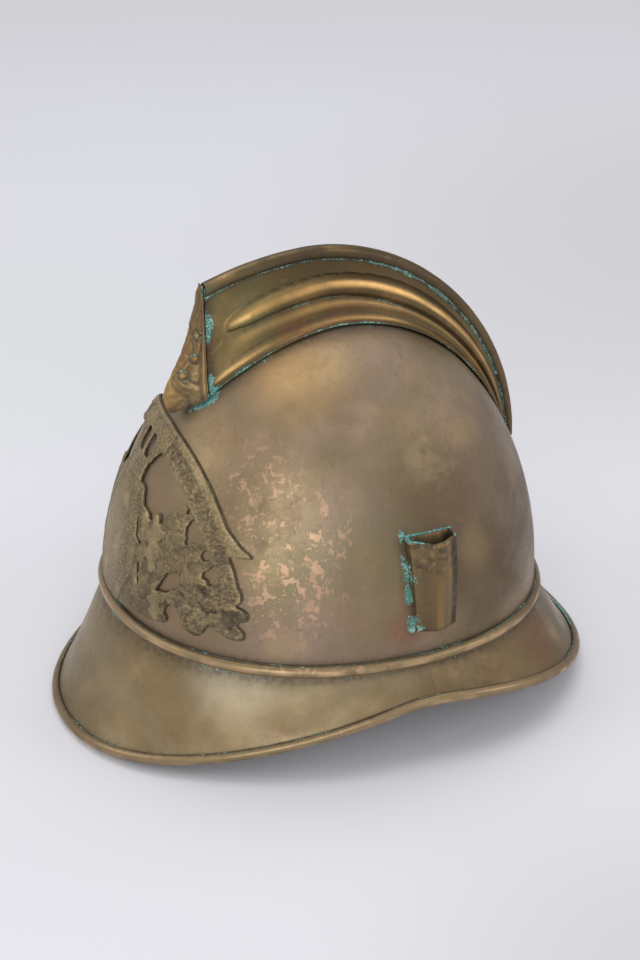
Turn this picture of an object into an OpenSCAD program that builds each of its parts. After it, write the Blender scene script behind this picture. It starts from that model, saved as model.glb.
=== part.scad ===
/* [Dome] */
// Half width of the dome at its base, outside
dome_half_w = 92.2; // [82:0.1:102]
// Half length of the dome at its base, outside
dome_half_l = 108.7; // [98:0.1:120]
// Height of the dome above its base
dome_h = 141.5; // [130:0.5:152]
// Height of the dome's base above the surface the helmet stands on
base_h = 48.2; // [44:0.1:54]
// Backward lean of the top of the dome
dome_lean = 6.4; // [0:0.1:10]
// Slope of the base line, front end up
base_slope = 4; // [2:0.1:5]
// Fullness of the plan outline, where 2 is an ellipse
plan_fullness = 2.14; // [2:0.01:2.4]
// Fullness of the rise, where 2 is an ellipse
rise_fullness = 2.05; // [2:0.01:2.3]
// Thickness of the dome sheet
dome_t = 0.8; // [0.6:0.05:1.2]

/* [Brim] */
// Reach of the visor in front of the dome, to the centre of its edge roll
visor_reach = 29.5; // [22:0.1:36]
// Reach of the neck guard behind the dome, to the centre of its edge roll
guard_reach = 22.9; // [20:0.1:32]
// Reach of the brim at the sides, to the centre of its edge roll
side_reach = 7.8; // [7:0.1:14]
// How quickly the visor narrows from its front to the sides
visor_taper = 4.5; // [2:0.1:6]
// How quickly the neck guard narrows from its rear to the sides
guard_taper = 2; // [1.5:0.1:3]
// Height of the edge roll's centre where it is highest
side_lift = 32.6; // [30:0.1:40]
// Height of the edge roll's centre at the two ends, where the helmet stands
end_lift = 2.958; // [2.4:0.01:3.6]
// How quickly the edge climbs from the front end
visor_climb = 1.24; // [1.1:0.01:1.8]
// How quickly the edge climbs from the rear end
guard_climb = 1.53; // [1.1:0.01:1.8]
// Angle behind the middle of the side where the edge is highest
arch_turn = 5.2; // [0:0.1:10]
// Bell shape of the brim, where 1 is straight
brim_flare = 1.12; // [1:0.01:1.3]
// Thickness of the brim sheet
brim_t = 0.8; // [0.6:0.05:1.2]
// Height of the brim's collar round the dome
collar_h = 6.2; // [4.5:0.1:7]
// Angle from the front to the joint of visor and neck guard
seam_angle = 95; // [85:1:110]

/* [Trim] */
// Outer radius of the half-round bead over the collar
bead_r = 2.9; // [2.3:0.1:3.2]
// Thickness of the bead strip
bead_t = 0.6; // [0.4:0.05:0.8]
// Outer radius of the rolled edge binding
roll_r = 2.9; // [2.5:0.1:3.4]
// Thickness of the binding strip
roll_t = 0.6; // [0.4:0.05:0.8]
// Radius of the wire inside the rolled edge
wire_r = 1.2; // [0.8:0.05:1.3]

/* [Comb] */
// Height of the top of the comb above the centre of its curve
comb_h = 122.4; // [116:0.1:128]
// Height of the centre of the comb's curve above the dome's base
comb_centre_z = 56; // [50:0.1:62]
// Place of the top of the comb ahead of the dome's centre
comb_centre_y = 8.5; // [4:0.1:13]
// Reach of the comb's curve forwards, past the dome's half length
comb_front_over = 39.3; // [31:0.1:47]
// Reach of the comb's curve backwards, past the dome's half length
comb_rear_over = 7.3; // [4:0.1:10]
// Fullness of the comb's curve, where 2 is an ellipse
comb_fullness = 1.9; // [1.8:0.01:2]
// Angle of the comb's front end on its curve
comb_front_angle = 68.5; // [60:0.5:74]
// Angle of the comb's rear end on its curve
comb_rear_angle = 179; // [170:0.5:182]
// Angle up the dome's front where the comb's foot begins
comb_foot_start = 52; // [48:0.5:56]
// Angle over the dome where the comb's foot ends behind
comb_foot_end = 155; // [150:0.5:160]
// Half width of the comb's foot
comb_foot_w = 10.7; // [9:0.1:13]
// Extra half width of the foot where it leaves the mask
comb_foot_spread = 2; // [0:0.1:3]
// Half width by which the foot narrows into the mask
comb_foot_nip = 2.2; // [0:0.1:3]
// Half width of the comb's foot at its rear end
comb_tail_w = 6; // [5:0.1:9]
// Thickness of the comb sheets
comb_t = 0.7; // [0.5:0.05:0.9]
// Height of the raised rib out of the flank
rib_h = 3.7; // [2:0.1:4.5]
// Outer radius of the crest roll
crest_r = 3.8; // [3:0.1:4]
// Thickness of the crest roll strip
crest_t = 0.6; // [0.4:0.05:0.8]
// Reach of the mask's toe in front of the comb
mask_reach = 16.2; // [8:0.1:20]
// Height of the mask, from the comb's top corner to its toe
mask_drop = 62; // [58:0.5:66]
// Extra reach of the mask's rounded nose above its toe
mask_nose = 5.4; // [2:0.1:7]

/* [Plume socket] */
// Width of the socket at its mouth
socket_mouth_w = 25.5; // [20:0.1:30]
// Width of the socket at its foot
socket_foot_w = 20.5; // [14:0.1:22]
// Depth of the socket at its mouth, off the dome
socket_mouth_d = 12.2; // [9:0.1:15]
// Depth of the socket at its foot, off the dome
socket_foot_d = 7.4; // [5:0.1:9]
// Height of the socket's foot above the dome's base
socket_z = 19; // [14:0.5:30]
// Length of the socket along the dome
socket_l = 44.5; // [36:0.5:60]
// Place of the socket behind the dome's centre
socket_y = 14.6; // [0:0.1:20]
// Rise of the socket's back lip over its front lip
socket_lip = 1.2; // [0:0.1:5]
// Fall of the socket's mouth from its front side to its rear side
socket_tilt = 2.6; // [0:0.1:4]
// Thickness of the socket sheet
socket_t = 0.8; // [0.6:0.05:1.2]

/* [Badge] */
// Turn of the badge off the centre line, towards the wearer's right
badge_turn = 7; // [0:0.5:10]
// Half span of the badge's scroll between its tips
badge_half_w = 72; // [66:0.5:76]
// Height of the scroll's top edge above the dome's base
badge_top = 103.3; // [100:0.5:108]
// Width of the scroll at its middle
scroll_w = 9.5; // [8:0.1:13]
// Height of the badge's lower edge above the dome's base
badge_foot = 14.5; // [13.5:0.5:20]
// Thickness of the badge plate
badge_t = 1.4; // [1:0.1:2]
// Radius of the badge's fixing wires
badge_pin_r = 0.9; // [0.7:0.05:1.2]

/* [Liner] */
// Gap between the dome and the sweatband
band_gap = 5; // [4:0.1:8]
// Height of the sweatband
band_h = 34; // [26:0.5:44]
// Thickness of the sweatband leather
band_t = 1.6; // [1:0.1:2.4]
// Thickness of the tongue leather
tongue_t = 1.2; // [0.8:0.1:1.6]
// Inward reach of the tongues at their tips
tongue_reach = 24; // [18:0.5:30]
// Angle up the dome that the tongues reach
tongue_top = 66; // [60:0.5:70]
// Radius of the draw lace
lace_r = 0.9; // [0.6:0.05:1.1]
// Width of a liner clip
clip_w = 9; // [6:0.5:12]

/* [Strap rings] */
// Radius of the strap ring wire
ring_r = 1.25; // [1:0.05:1.5]
// Inside width of a strap ring
ring_w = 17; // [14:0.5:20]
// Straight length of a strap ring's sides
ring_leg = 6; // [4:0.5:8]
// Drop of the ring's bar below the dome's base
ring_drop = 4.2; // [4:0.1:6]
// Distance of the ring's bar from the dome's inner wall
ring_inset = 2.8; // [2.6:0.05:4]
// Length of the bracket's knuckle round the ring's bar
knuckle_l = 12; // [8:0.5:13]
// Radius of a bracket rivet
rivet_r = 1; // [0.8:0.05:1.1]
// Distance between the two rivets of a bracket
rivet_pitch = 10; // [8:0.5:12]

/* [Fits] */
// Clearance between sheets that lie on each other
lap_gap = 0.15; // [0.1:0.01:0.3]
// Clearance under a piece that is seated on the dome
seat_gap = 0.3; // [0.25:0.01:0.5]
// Running clearance on the radius of the ring's bar
run_gap = 0.05; // [0.03:0.01:0.1]

/* [Hidden] */

brass = "darkgoldenrod";
pale_brass = "goldenrod";
dull_brass = "olivedrab";
iron = "dimgray";
leather = "saddlebrown";

// Counts of facets round and up the formed sheets
plan_steps = 60;
rise_steps = 17;
comb_steps = 32;

// Half of the joint between visor and neck guard, as an angle
seam_half = 0.12;
// Angle between columns of facets
plan_step = 360 / plan_steps;

dome_y = (visor_reach - guard_reach) / 2;
collar_mid = lap_gap + brim_t / 2;
bead_seat = lap_gap + brim_t + lap_gap;
bead_mid_z = bead_r + lap_gap;

// Comb's curve, rib and hem, and the mask's clearances
comb_front = dome_half_l + comb_front_over;
comb_rear = dome_half_l + comb_rear_over;
rib_half_w = 4.7;
hem_h = 0.8;
hem_w = 1.8;
mask_stand = 1;
mask_lip = 1.2;
mask_seat = 1.6;

// Comb tabs, as station along the comb and side
tab_t = 0.8;
tab_w = 8;
tab_l = 4.6;
tab_h = 1.2;
tab_in = 2.6;
tab_places = [for (station = [0.12, 0.5, 0.85], side = [-1, 1]) [station, side]];

// Liner
band_lift = 4;
tongue_lift = 28;
clip_half = clip_w / 3.75;

// Brackets and strap rings
ring_x = dome_half_w - dome_t - ring_inset;
ring_z = base_h - ring_drop;
knuckle_r = ring_r + run_gap + 1;
plate_t = 1.1;
plate_x = ring_x + knuckle_r - plate_t;
bracket_w = 16;
rivet_head_t = 0.8;

// Badge fixing wires, as plan angle and rise
pin_places = [[-38, 33.5], [24, 33.5], [-46, 12], [34, 12]];
pin_l = 6;

// Angles from one end to another, on the columns of facets between them
function columns(from, to) = concat(
    [from],
    [for (k = [ceil((from + 2) / plan_step):floor((to - 2) / plan_step)]) k * plan_step],
    [to]
);

// Value between a and b at share k
function between(a, b, k) = a + (b - a) * k;

// Superellipse share of a sine or cosine
function swell(v, fullness) = sign(v) * pow(abs(v), 2 / fullness);

// Unit vector along v
function unit(v) = v / norm(v);

// Point of an oval in plan, at an angle from the front towards +X
function oval(angle, half_w, half_l) = [
    half_w * swell(sin(angle), plan_fullness),
    -half_l * swell(cos(angle), plan_fullness)
];

// Height of the dome's sloping base line
function base_z(y) = base_h - tan(base_slope) * (y - dome_y);

// Point of the dome at a plan angle and an angle of rise
function dome_at(angle, rise, off = 0) =
    let (
        up = swell(sin(rise), rise_fullness),
        wide = swell(cos(rise), rise_fullness),
        p = oval(angle, (dome_half_w + off) * wide, (dome_half_l + off) * wide),
        y = dome_y + p.y + dome_lean * up
    )
    [p.x, y, base_z(y) + (dome_h + off) * up];

// Point of the dome above x, at a distance along it before the lean is added
function dome_over(x, along, off = 0) =
    let (
        wide = pow(
            pow(abs(x) / (dome_half_w + off), plan_fullness)
                + pow(abs(along) / (dome_half_l + off), plan_fullness),
            1 / plan_fullness
        ),
        up = pow(max(0, 1 - pow(wide, rise_fullness)), 1 / rise_fullness),
        y = dome_y + along + dome_lean * up
    )
    [x, y, base_z(y) + (dome_h + off) * up];

// Half width of the dome at a place on its side
function dome_side(y, z) =
    let (
        up = (z - base_z(y)) / dome_h,
        wide = pow(1 - pow(up, rise_fullness), 1 / rise_fullness),
        along = abs(y - dome_y - dome_lean * up) / dome_half_l
    )
    dome_half_w * pow(pow(wide, plan_fullness) - pow(along, plan_fullness), 1 / plan_fullness);

// Outward direction of the dome, from three of its points
function dome_normal(angle, rise) =
    let (
        p = dome_at(angle, rise),
        q = dome_at(angle + 0.5, rise),
        r = dome_at(angle, rise + 0.5)
    )
    unit(cross(q - p, r - p));

// Faces of a grid of points, as triangles
function grid_faces(rows, cols, first, wrap) = [
    for (r = [0:rows - 2], c = [0:(wrap ? cols - 1 : cols - 2)])
        let (
            a = first + r * cols + c,
            b = first + r * cols + (c + 1) % cols
        )
        each [[a, a + cols, b + cols], [a, b + cols, b]]
];

// Triangles between two matching runs of point numbers
function strip_faces(a, b) = [
    for (i = [0:len(a) - 2])
        each [[a[i], a[i + 1], b[i + 1]], [a[i], b[i + 1], b[i]]]
];

function backwards(list) = [for (i = [len(list) - 1:-1:0]) list[i]];

// Faces turned so that they look outwards
function turned(points, faces) =
    let (parts = [for (f = faces) cross(points[f[0]], points[f[1]]) * points[f[2]]])
    parts * [for (f = faces) 1] > 0 ? [for (f = faces) backwards(f)] : faces;

// Grid of points moved along its own normals
function inset(grid, off) = [
    for (r = [0:len(grid) - 1]) [
        for (c = [0:len(grid[0]) - 1])
            let (
                across = grid[r][min(c + 1, len(grid[0]) - 1)] - grid[r][max(c - 1, 0)],
                down = grid[min(r + 1, len(grid) - 1)][c] - grid[max(r - 1, 0)][c]
            )
            grid[r][c] - unit(cross(across, down)) * off
    ]
];

// Sheet between two matching grids of points, closed round its edges
module sheet(outer, inner, wrap = false) {
    rows = len(outer);
    cols = len(outer[0]);
    count = rows * cols;
    points = concat([for (row = outer) each row], [for (row = inner) each row]);
    foot = [for (c = [0:(wrap ? cols : cols - 1)]) c % cols];
    head = [for (c = foot) c + (rows - 1) * cols];
    side = [for (r = [0:rows - 1]) r * cols];
    far_side = [for (i = side) i + cols - 1];
    faces = concat(
        grid_faces(rows, cols, 0, wrap),
        [for (f = grid_faces(rows, cols, count, wrap)) backwards(f)],
        strip_faces(foot, [for (i = foot) i + count]),
        strip_faces([for (i = head) i + count], head),
        wrap ? [] : strip_faces([for (i = side) i + count], side),
        wrap ? [] : strip_faces(far_side, [for (i = far_side) i + count])
    );
    polyhedron(points, turned(points, faces), convexity = 12);
}

// Solid through a row of closed convex sections, with flat ends or joined into a ring
module swept(sections, ring = false) {
    rows = len(sections);
    cols = len(sections[0]);
    points = [for (s = sections) each s];
    last = (rows - 1) * cols;
    closing = ring
        ? [
            for (c = [0:cols - 1])
                let (d = (c + 1) % cols)
                each [[last + c, c, d], [last + c, d, last + d]]
        ]
        : concat(
            [for (c = [1:cols - 2]) [0, c, c + 1]],
            [for (c = [1:cols - 2]) [last, last + c + 1, last + c]]
        );
    faces = concat(grid_faces(rows, cols, 0, true), closing);
    polyhedron(points, turned(points, faces), convexity = 12);
}

// Dome

module dome_sheet() {
    rows = [for (i = [0:rise_steps - 1]) 90 * i / rise_steps];
    function level(rise, off) = [for (c = [0:plan_steps - 1]) dome_at(360 * c / plan_steps, rise, off)];
    outer = [for (rise = rows) level(rise, 0)];
    inner = [for (rise = rows) level(rise, -dome_t)];
    count = rise_steps * plan_steps;
    points = concat(
        [for (row = outer) each row],
        [for (row = inner) each row],
        [dome_at(0, 90, 0), dome_at(0, 90, -dome_t)]
    );
    rim = [for (c = [0:plan_steps]) c % plan_steps];
    top = [for (c = rim) c + count - plan_steps];
    faces = concat(
        grid_faces(rise_steps, plan_steps, 0, true),
        [for (f = grid_faces(rise_steps, plan_steps, count, true)) backwards(f)],
        strip_faces(rim, [for (i = rim) i + count]),
        [for (c = [0:plan_steps - 1]) [top[c], 2 * count, top[c + 1]]],
        [for (c = [0:plan_steps - 1]) [top[c + 1] + count, 2 * count + 1, top[c] + count]]
    );
    polyhedron(points, turned(points, faces), convexity = 8);
}

module dome() {
    color(brass) difference() {
        dome_sheet();
        for (place = tab_places) at_dome_top(place) tab_slot();
        for (place = pin_places) at_dome(place) cylinder(r = badge_pin_r + lap_gap, h = 12, center = true, $fn = 32);
        for (side = [-1, 1]) at_bracket(side) rivet_holes();
    }
}

// Moves children to a place on the dome, given as plan angle and rise, with +Z outwards
module at_dome(place) {
    n = dome_normal(place[0], place[1]);
    translate(dome_at(place[0], place[1]))
        rotate([0, acos(n.z), atan2(n.y, n.x)])
            children();
}

// Brim

// Point of the brim's edge, at the centre of its roll
function edge_at(angle) =
    let (
        reach = reach_at(angle),
        p = oval(angle, dome_half_w + reach, dome_half_l + reach),
        turn = acos(cos(angle)),
        top = 90 + arch_turn,
        along = cos(turn < top ? turn * 90 / top : 180 - (180 - turn) * 90 / (180 - top)),
        fall = pow(abs(along), along > 0 ? visor_climb : guard_climb)
    )
    [p.x, dome_y + p.y, between(side_lift, end_lift, fall)];

// Reach of the brim out of the dome, to the centre of its edge roll
function reach_at(angle) =
    cos(angle) > 0
        ? between(side_reach, visor_reach, pow(cos(angle), visor_taper))
        : between(guard_reach, side_reach, pow(1 + cos(angle), guard_taper));

// Point of the brim's collar round the dome, at a height above the base line
function collar_at(angle, off, up) =
    let (p = oval(angle, dome_half_w + off, dome_half_l + off), y = dome_y + p.y)
    [p.x, y, base_z(y) + up];

// Middle of the brim sheet, from the collar at share 0 to the edge at share 1
function brim_mid(angle, share) =
    let (
        top = collar_at(angle, collar_mid, -0.6),
        edge = edge_at(angle),
        fall = 1 - pow(1 - share, brim_flare)
    )
    [between(top.x, edge.x, share), between(top.y, edge.y, share), between(top.z, edge.z, fall)];

// Outward and upward direction of the brim sheet
function brim_normal(angle, share) =
    let (
        a = brim_mid(angle, max(0, share - 0.05)),
        b = brim_mid(angle, min(1, share + 0.05)),
        down = unit(b - a),
        out = unit([down.x, down.y, 0]),
        level = norm([down.x, down.y])
    )
    [-out.x * down.z, -out.y * down.z, level];

// Direction of the brim sheet where it enters the edge roll
function brim_run(angle) = unit(brim_mid(angle, 1) - brim_mid(angle, 0.9));

module brim_sheet(from, to) {
    angles = columns(from, to);
    shares = [0.03, 0.14, 0.35, 0.6, 0.82];
    function across(angle, side) = concat(
        [for (up = [collar_h, 0]) collar_at(angle, collar_mid + side * brim_t / 2, up)],
        [for (k = shares) brim_mid(angle, k) + brim_normal(angle, k) * side * brim_t / 2],
        [edge_at(angle) - brim_run(angle) * (wire_r + 2 * lap_gap)
            + brim_normal(angle, 1) * side * brim_t / 2]
    );
    sheet([for (a = angles) across(a, 1)], [for (a = angles) across(a, -1)]);
}

module visor() {
    color(brass) difference() {
        brim_sheet(-seam_angle + seam_half, seam_angle - seam_half);
        for (side = [-1, 1]) at_bracket(side) rivet_holes();
    }
}

module neck_guard() {
    color(brass) brim_sheet(seam_angle + seam_half, 360 - seam_angle - seam_half);
}

module base_bead() {
    arc = [for (i = [0:5]) 90 - 36 * i];
    function ring_at(turn, r) = [
        for (c = [0:plan_steps - 1])
            collar_at(360 * c / plan_steps, bead_seat + r * cos(turn), bead_mid_z + r * sin(turn))
    ];
    color(brass) sheet(
        [for (turn = arc) ring_at(turn, bead_r)],
        [for (turn = arc) ring_at(turn, bead_r - bead_t)],
        wrap = true
    );
}

// Edge binding, a strip rolled round the brim's edge and its wire
module binding(from, to) {
    arc = [for (i = [0:8]) between(-158, 158, i / 8)];
    function section(angle, r) =
        let (out = brim_run(angle), up = brim_normal(angle, 1))
        [for (turn = arc) edge_at(angle) + out * r * cos(turn) + up * r * sin(turn)];
    angles = columns(from, to);
    sheet([for (a = angles) section(a, roll_r)], [for (a = angles) section(a, roll_r - roll_t)]);
}

module edge_wire(from, to) {
    function section(angle) =
        let (out = brim_run(angle), up = brim_normal(angle, 1))
        [for (i = [0:5]) edge_at(angle) + (out * cos(60 * i) + up * sin(60 * i)) * wire_r];
    swept([for (a = columns(from, to)) section(a)]);
}

module visor_binding() {
    color(brass) binding(-seam_angle + seam_half, seam_angle - seam_half);
}

module guard_binding() {
    color(brass) binding(seam_angle + seam_half, 360 - seam_angle - seam_half);
}

module visor_edge_wire() {
    color(iron) edge_wire(-seam_angle + seam_half, seam_angle - seam_half);
}

module guard_edge_wire() {
    color(iron) edge_wire(seam_angle + seam_half, 360 - seam_angle - seam_half);
}

// Comb

// Point of the comb's top line in the middle plane, at station 0 in front to 1 behind
function crest_at(station) =
    let (turn = between(comb_front_angle, comb_rear_angle, station))
    [
        dome_y - comb_centre_y - swell(cos(turn), comb_fullness) * (cos(turn) > 0 ? comb_front : comb_rear),
        base_h + comb_centre_z + swell(sin(turn), comb_fullness) * comb_h
    ];

// Half width of the comb's foot, nipped at the mask and spread behind it
function foot_w(station) =
    between(comb_foot_w, comb_tail_w, pow(station, 4))
        + comb_foot_spread * pow(cos(min(90, abs(station - 0.14) * 500)), 2)
        - comb_foot_nip * pow(max(0, 1 - station / 0.07), 1.5);

// Point where the comb's foot meets the dome
function foot_at(station) =
    let (
        share = station + 0.7 * station * pow(1 - station, 3),
        turn = between(comb_foot_start, comb_foot_end, share),
        p = dome_over(foot_w(station), -dome_half_l * cos(turn))
    )
    [p.y, p.z];

// Height of the comb's flank from the top line to the foot
function flank_h(station) = norm(foot_at(station) - crest_at(station));

// Height of the rib, which rises at its front end and dies out at the tail
function rib_at(station) =
    rib_h * sqrt(max(0, min(1, (station - 0.035) / 0.04))) * min(1, max(0, (0.97 - station) / 0.2));

// Share of the way down the flank where the rib runs, lower at its front end
function rib_share(station) = 0.39 + 0.06 * max(0, 1 - station / 0.25);

// Radius of the crest roll, a little less at the tail
function roll_at(station) = crest_r * (1 - 0.25 * pow(station, 4));

// Half profile of a flank: half width and depth below the top line
function flank_profile(station) =
    let (
        h = flank_h(station) - seat_gap - comb_t - 0.1,
        w = foot_w(station),
        r = roll_at(station),
        neck = r * 1.75,
        run = h - neck,
        hem = min(hem_h, 0.12 * run),
        rib_z = rib_share(station),
        rib_half = min(rib_half_w / run, 0.2),
        rise = rib_at(station),
        shares = [0, rib_z - rib_half, rib_z - 0.7 * rib_half, rib_z, rib_z + 0.7 * rib_half, rib_z + rib_half,
            0.74, 0.88],
        lifts = [0, 0, 0.72, 1, 0.72, 0, 0, 0]
    )
    concat(
        [[comb_t + lap_gap / 2, r * 0.85]],
        [
            for (i = [0:len(shares) - 1])
                [between(0.515 * r, w - 0.4, pow(shares[i], 1.2)) + rise * lifts[i], neck + run * shares[i]]
        ],
        [[w, h - hem], [w + hem_w, h]]
    );

// Outward directions along a half profile
function profile_normals(profile) = [
    for (i = [0:len(profile) - 1])
        let (
            a = profile[max(0, i - 1)],
            b = profile[min(len(profile) - 1, i + 1)],
            d = unit(b - a)
        )
        [d.y, -d.x]
];

// Turns a half profile into points of the flank on the given side
function flank_points(station, profile, side) =
    let (top = crest_at(station), down = unit(foot_at(station) - top))
    [for (p = profile) [side * p.x, top.x + down.x * p.y, top.y + down.y * p.y]];

module flank(side) {
    stations = [for (i = [0:comb_steps]) pow(i / comb_steps, 1.1)];
    outer = [for (s = stations) flank_points(s, flank_profile(s), side)];
    inner = [
        for (s = stations)
            let (profile = flank_profile(s), normals = profile_normals(profile))
            flank_points(s, profile - normals * comb_t, side)
    ];
    color(pale_brass) sheet(outer, inner);
}

module comb_left_flank() {
    flank(1);
}

module comb_right_flank() {
    flank(-1);
}

// Crest roll, a strip rolled over the top edges of both flanks
module comb_crest_roll() {
    arc = [for (i = [0:7]) between(-135, 135, i / 7)];
    function section(station, r) =
        let (
            top = crest_at(station),
            down = unit(foot_at(station) - top),
            mid = top + down * roll_at(station)
        )
        [for (turn = arc) [r * sin(turn), mid.x - down.x * r * cos(turn), mid.y - down.y * r * cos(turn)]];
    stations = [for (i = [0:comb_steps]) i / comb_steps];
    color(pale_brass) sheet(
        [for (s = stations) section(s, roll_at(s))],
        [for (s = stations) section(s, roll_at(s) - crest_t)]
    );
}

// Keel line of the mask, from the comb's top corner at 0 to the toe at 1
function keel_at(share) =
    let (
        top = crest_at(0),
        nose = mask_nose * sin(180 * pow(share, 3.5))
    )
    [0, top.x - mask_stand - mask_reach * share - nose, top.y - mask_drop * share];

// Back edge of the mask, in front of the flanks' front edges
function mask_back(share, side) =
    let (
        profile = flank_profile(0),
        depth = share * flank_h(0),
        w = lookup(depth, [for (p = profile) [p.y, p.x]]),
        top = crest_at(0),
        down = unit(foot_at(0) - top)
    )
    [side * (w + mask_lip), top.x + down.x * depth - mask_stand, top.y + down.y * depth];

// Outer face of the mask, with its foot spread over the dome
function mask_point(share, across) =
    let (
        side = across < 0 ? -1 : 1,
        back = mask_back(share, side),
        keel = keel_at(share),
        k = pow(abs(across), between(1.4, 1.1, share)),
        p = [back.x * abs(across), between(keel.y, back.y, k), between(keel.z, back.z, k)],
        along = p.y - dome_y - dome_lean * 0.75,
        seat = dome_over(p.x, along, mask_seat)
    )
    [p.x, p.y, max(p.z, seat.z)];

module comb_mask() {
    shares = [0, 0.12, 0.26, 0.4, 0.54, 0.66, 0.76, 0.86, 1];
    spans = [-1, -0.75, -0.5, -0.25, 0, 0.25, 0.5, 0.75, 1];
    outer = [for (s = shares) [for (k = spans) mask_point(s, k)]];
    color(pale_brass) sheet(outer, inset(outer, -comb_t));
}

// Comb tabs: short strips that pass through slots in the dome and are bent over inside

// Moves children to a station of the comb's foot on one side, with +Z out of the dome
module at_dome_top(place) {
    station = place[0];
    side = place[1];
    p = foot_at(station);
    q = foot_at(station + 0.01);
    along = unit(q - p);
    translate([side * (foot_w(station) - tab_in), p.x, p.y])
        rotate([atan2(along.y, along.x), 0, 0])
            mirror([side < 0 ? 1 : 0, 0, 0])
                children();
}

module tab_slot() {
    translate([-tab_t - lap_gap, -tab_w / 2 - lap_gap, -6])
        cube([tab_t + 2 * lap_gap, tab_w + 2 * lap_gap, 12]);
}

module comb_tab() {
    bottom = -dome_t - seat_gap - tab_t;
    translate([-tab_t, -tab_w / 2, bottom])
        cube([tab_t, tab_w, tab_h - bottom]);
    translate([-tab_l, -tab_w / 2, bottom])
        cube([tab_l, tab_w, tab_t]);
}

module comb_tabs() {
    color(brass) for (place = tab_places) at_dome_top(place) comb_tab();
}

// Badge

// Outline of the badge's right half, as distance from its middle and height above the dome's base
function scroll_edge(x) = badge_top - 0.0078 * x * x;

function badge_half() = concat(
    [for (x = [0:8:64]) [x, scroll_edge(x)]],
    [
        [badge_half_w + 1, badge_foot + 46],
        [badge_half_w - 5, badge_foot + 46.5],
        [badge_half_w - 1, badge_foot + 38.5],
        [badge_half_w + 3, badge_foot + 26],
        [badge_half_w + 6, badge_foot + 19.5],
        [badge_half_w + 4, badge_foot + 15.5],
        [badge_half_w + 6.5, badge_foot + 9],
        [badge_half_w + 5, badge_foot + 7],
        [badge_half_w + 1.5, badge_foot + 8.5],
        [badge_half_w - 3, badge_foot + 15],
        [badge_half_w - 6, badge_foot + 6],
        [badge_half_w - 10.5, badge_foot + 7.5],
        [badge_half_w - 15, badge_foot + 17],
        [badge_half_w - 20, badge_foot + 17],
        [badge_half_w - 22.5, badge_foot + 12.5],
        [badge_half_w - 20, badge_foot + 8],
        [badge_half_w - 22.5, badge_foot + 5],
        [badge_half_w - 39, badge_foot + 3.5],
        [22, badge_foot + 0.5],
        [0, badge_foot]
    ]
);

// Openings in the right half of the badge: under the scroll, beside the sprig and at the shield
function badge_holes() = [
    concat(
        [for (x = [16:7:44]) [x, scroll_edge(x) - scroll_w - 0.04 * x]],
        [[44, 74], [36, 69], [30, 66], [26, 66], [19.5, 68], [15.5, 74], [11, 75.5], [13, 86]]
    ),
    [[50, 74], [48.5, 69.5], [49, 65], [51.5, 60.5], [56, 63.5], [57, 67]],
    [[59.5, 62], [58.5, 57], [63, 57], [63, 60.5]],
    [[65, 56], [62.5, 51.5], [63.5, 47], [65, 45.5], [68, 51]],
    [[47, 45.5], [45.5, 38], [43, 35], [49.5, 36], [55, 40.5], [56, 46.5]],
    [[20, 62.5], [21.5, 62], [28, 52], [26, 51.5]],
    [[30.5, 46], [32, 46], [33, 36], [31.5, 36]]
];

module badge_outline() {
    half = badge_half();
    difference() {
        polygon(concat(half, [for (i = [len(half) - 2:-1:1]) [-half[i].x, half[i].y]]));
        for (side = [-1, 1]) {
            for (hole = badge_holes())
                polygon([for (p = hole) [side * p.x, p.y]]);
            translate([side * 7.5 - 2, badge_top - 18])
                square([4, 7.5]);
        }
    }
}

module badge_patch() {
    angles = [for (k = [-13:11]) k * plan_step];
    rises = [for (k = concat([0.4], [for (i = [1:12]) i])) 90 * k / rise_steps];
    function skin(off) = [for (rise = rises) [for (a = angles) dome_at(a, rise, off)]];
    sheet(skin(seat_gap + 0.2 + badge_t), skin(seat_gap + 0.2));
}

module badge() {
    color(dull_brass) intersection() {
        badge_patch();
        rotate([0, 0, -badge_turn])
            translate([0, -20, base_h])
                rotate([90, 0, 0])
                    linear_extrude(height = 110)
                        badge_outline();
    }
}

module badge_pins() {
    drop = dome_t + seat_gap + 0.25 + badge_pin_r;
    color(brass) for (place = pin_places) at_dome(place) {
        translate([0, 0, -drop])
            cylinder(r = badge_pin_r, h = drop + seat_gap, $fn = 24);
        translate([0, 0, -drop])
            sphere(r = badge_pin_r, $fn = 24);
        translate([0, 0, -drop])
            rotate([0, -90, 0])
                cylinder(r = badge_pin_r, h = pin_l, $fn = 24);
    }
}

// Plume socket, a tapering box on the wearer's left

// Section of the socket at a share of its length, at an inset from its outer face
function socket_ring(share, inset) =
    let (
        w = between(socket_foot_w, socket_mouth_w, share) / 2 - inset,
        d = between(socket_foot_d, socket_mouth_d, share),
        ridge = between(4, 5, share) / 2,
        mid = dome_y + socket_y,
        low = base_h + socket_z + socket_l * share,
        high = low + socket_lip * pow(share, 6),
        fall = socket_tilt / 2 * pow(share, 6),
        rear = seat_gap + 0.2 + inset,
        side_x = dome_side(mid + w, low) + seat_gap + 0.2
    )
    [
        [dome_side(mid - w, high) + rear, mid - w, high + fall],
        [side_x + 0.5 * d, mid - w, low + 0.3 * (high - low) + fall],
        [side_x + d - inset, mid - ridge + 0.4 * inset, low],
        [side_x + d - inset, mid + ridge - 0.4 * inset, low],
        [side_x + 0.5 * d, mid + w, low + 0.3 * (high - low) - fall],
        [dome_side(mid + w, high) + rear, mid + w, high - fall],
        [dome_side(mid, high) + rear, mid, high]
    ];

module plume_socket() {
    shares = [0, 0.2, 0.4, 0.6, 0.8, 1];
    color(brass) sheet(
        [for (k = shares) socket_ring(k, 0)],
        [for (k = shares) socket_ring(k, socket_t)],
        wrap = true
    );
}

// Liner

// Angle of rise at a height above the dome's base
function rise_for(height) = asin(pow(height / dome_h, rise_fullness / 2));

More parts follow.
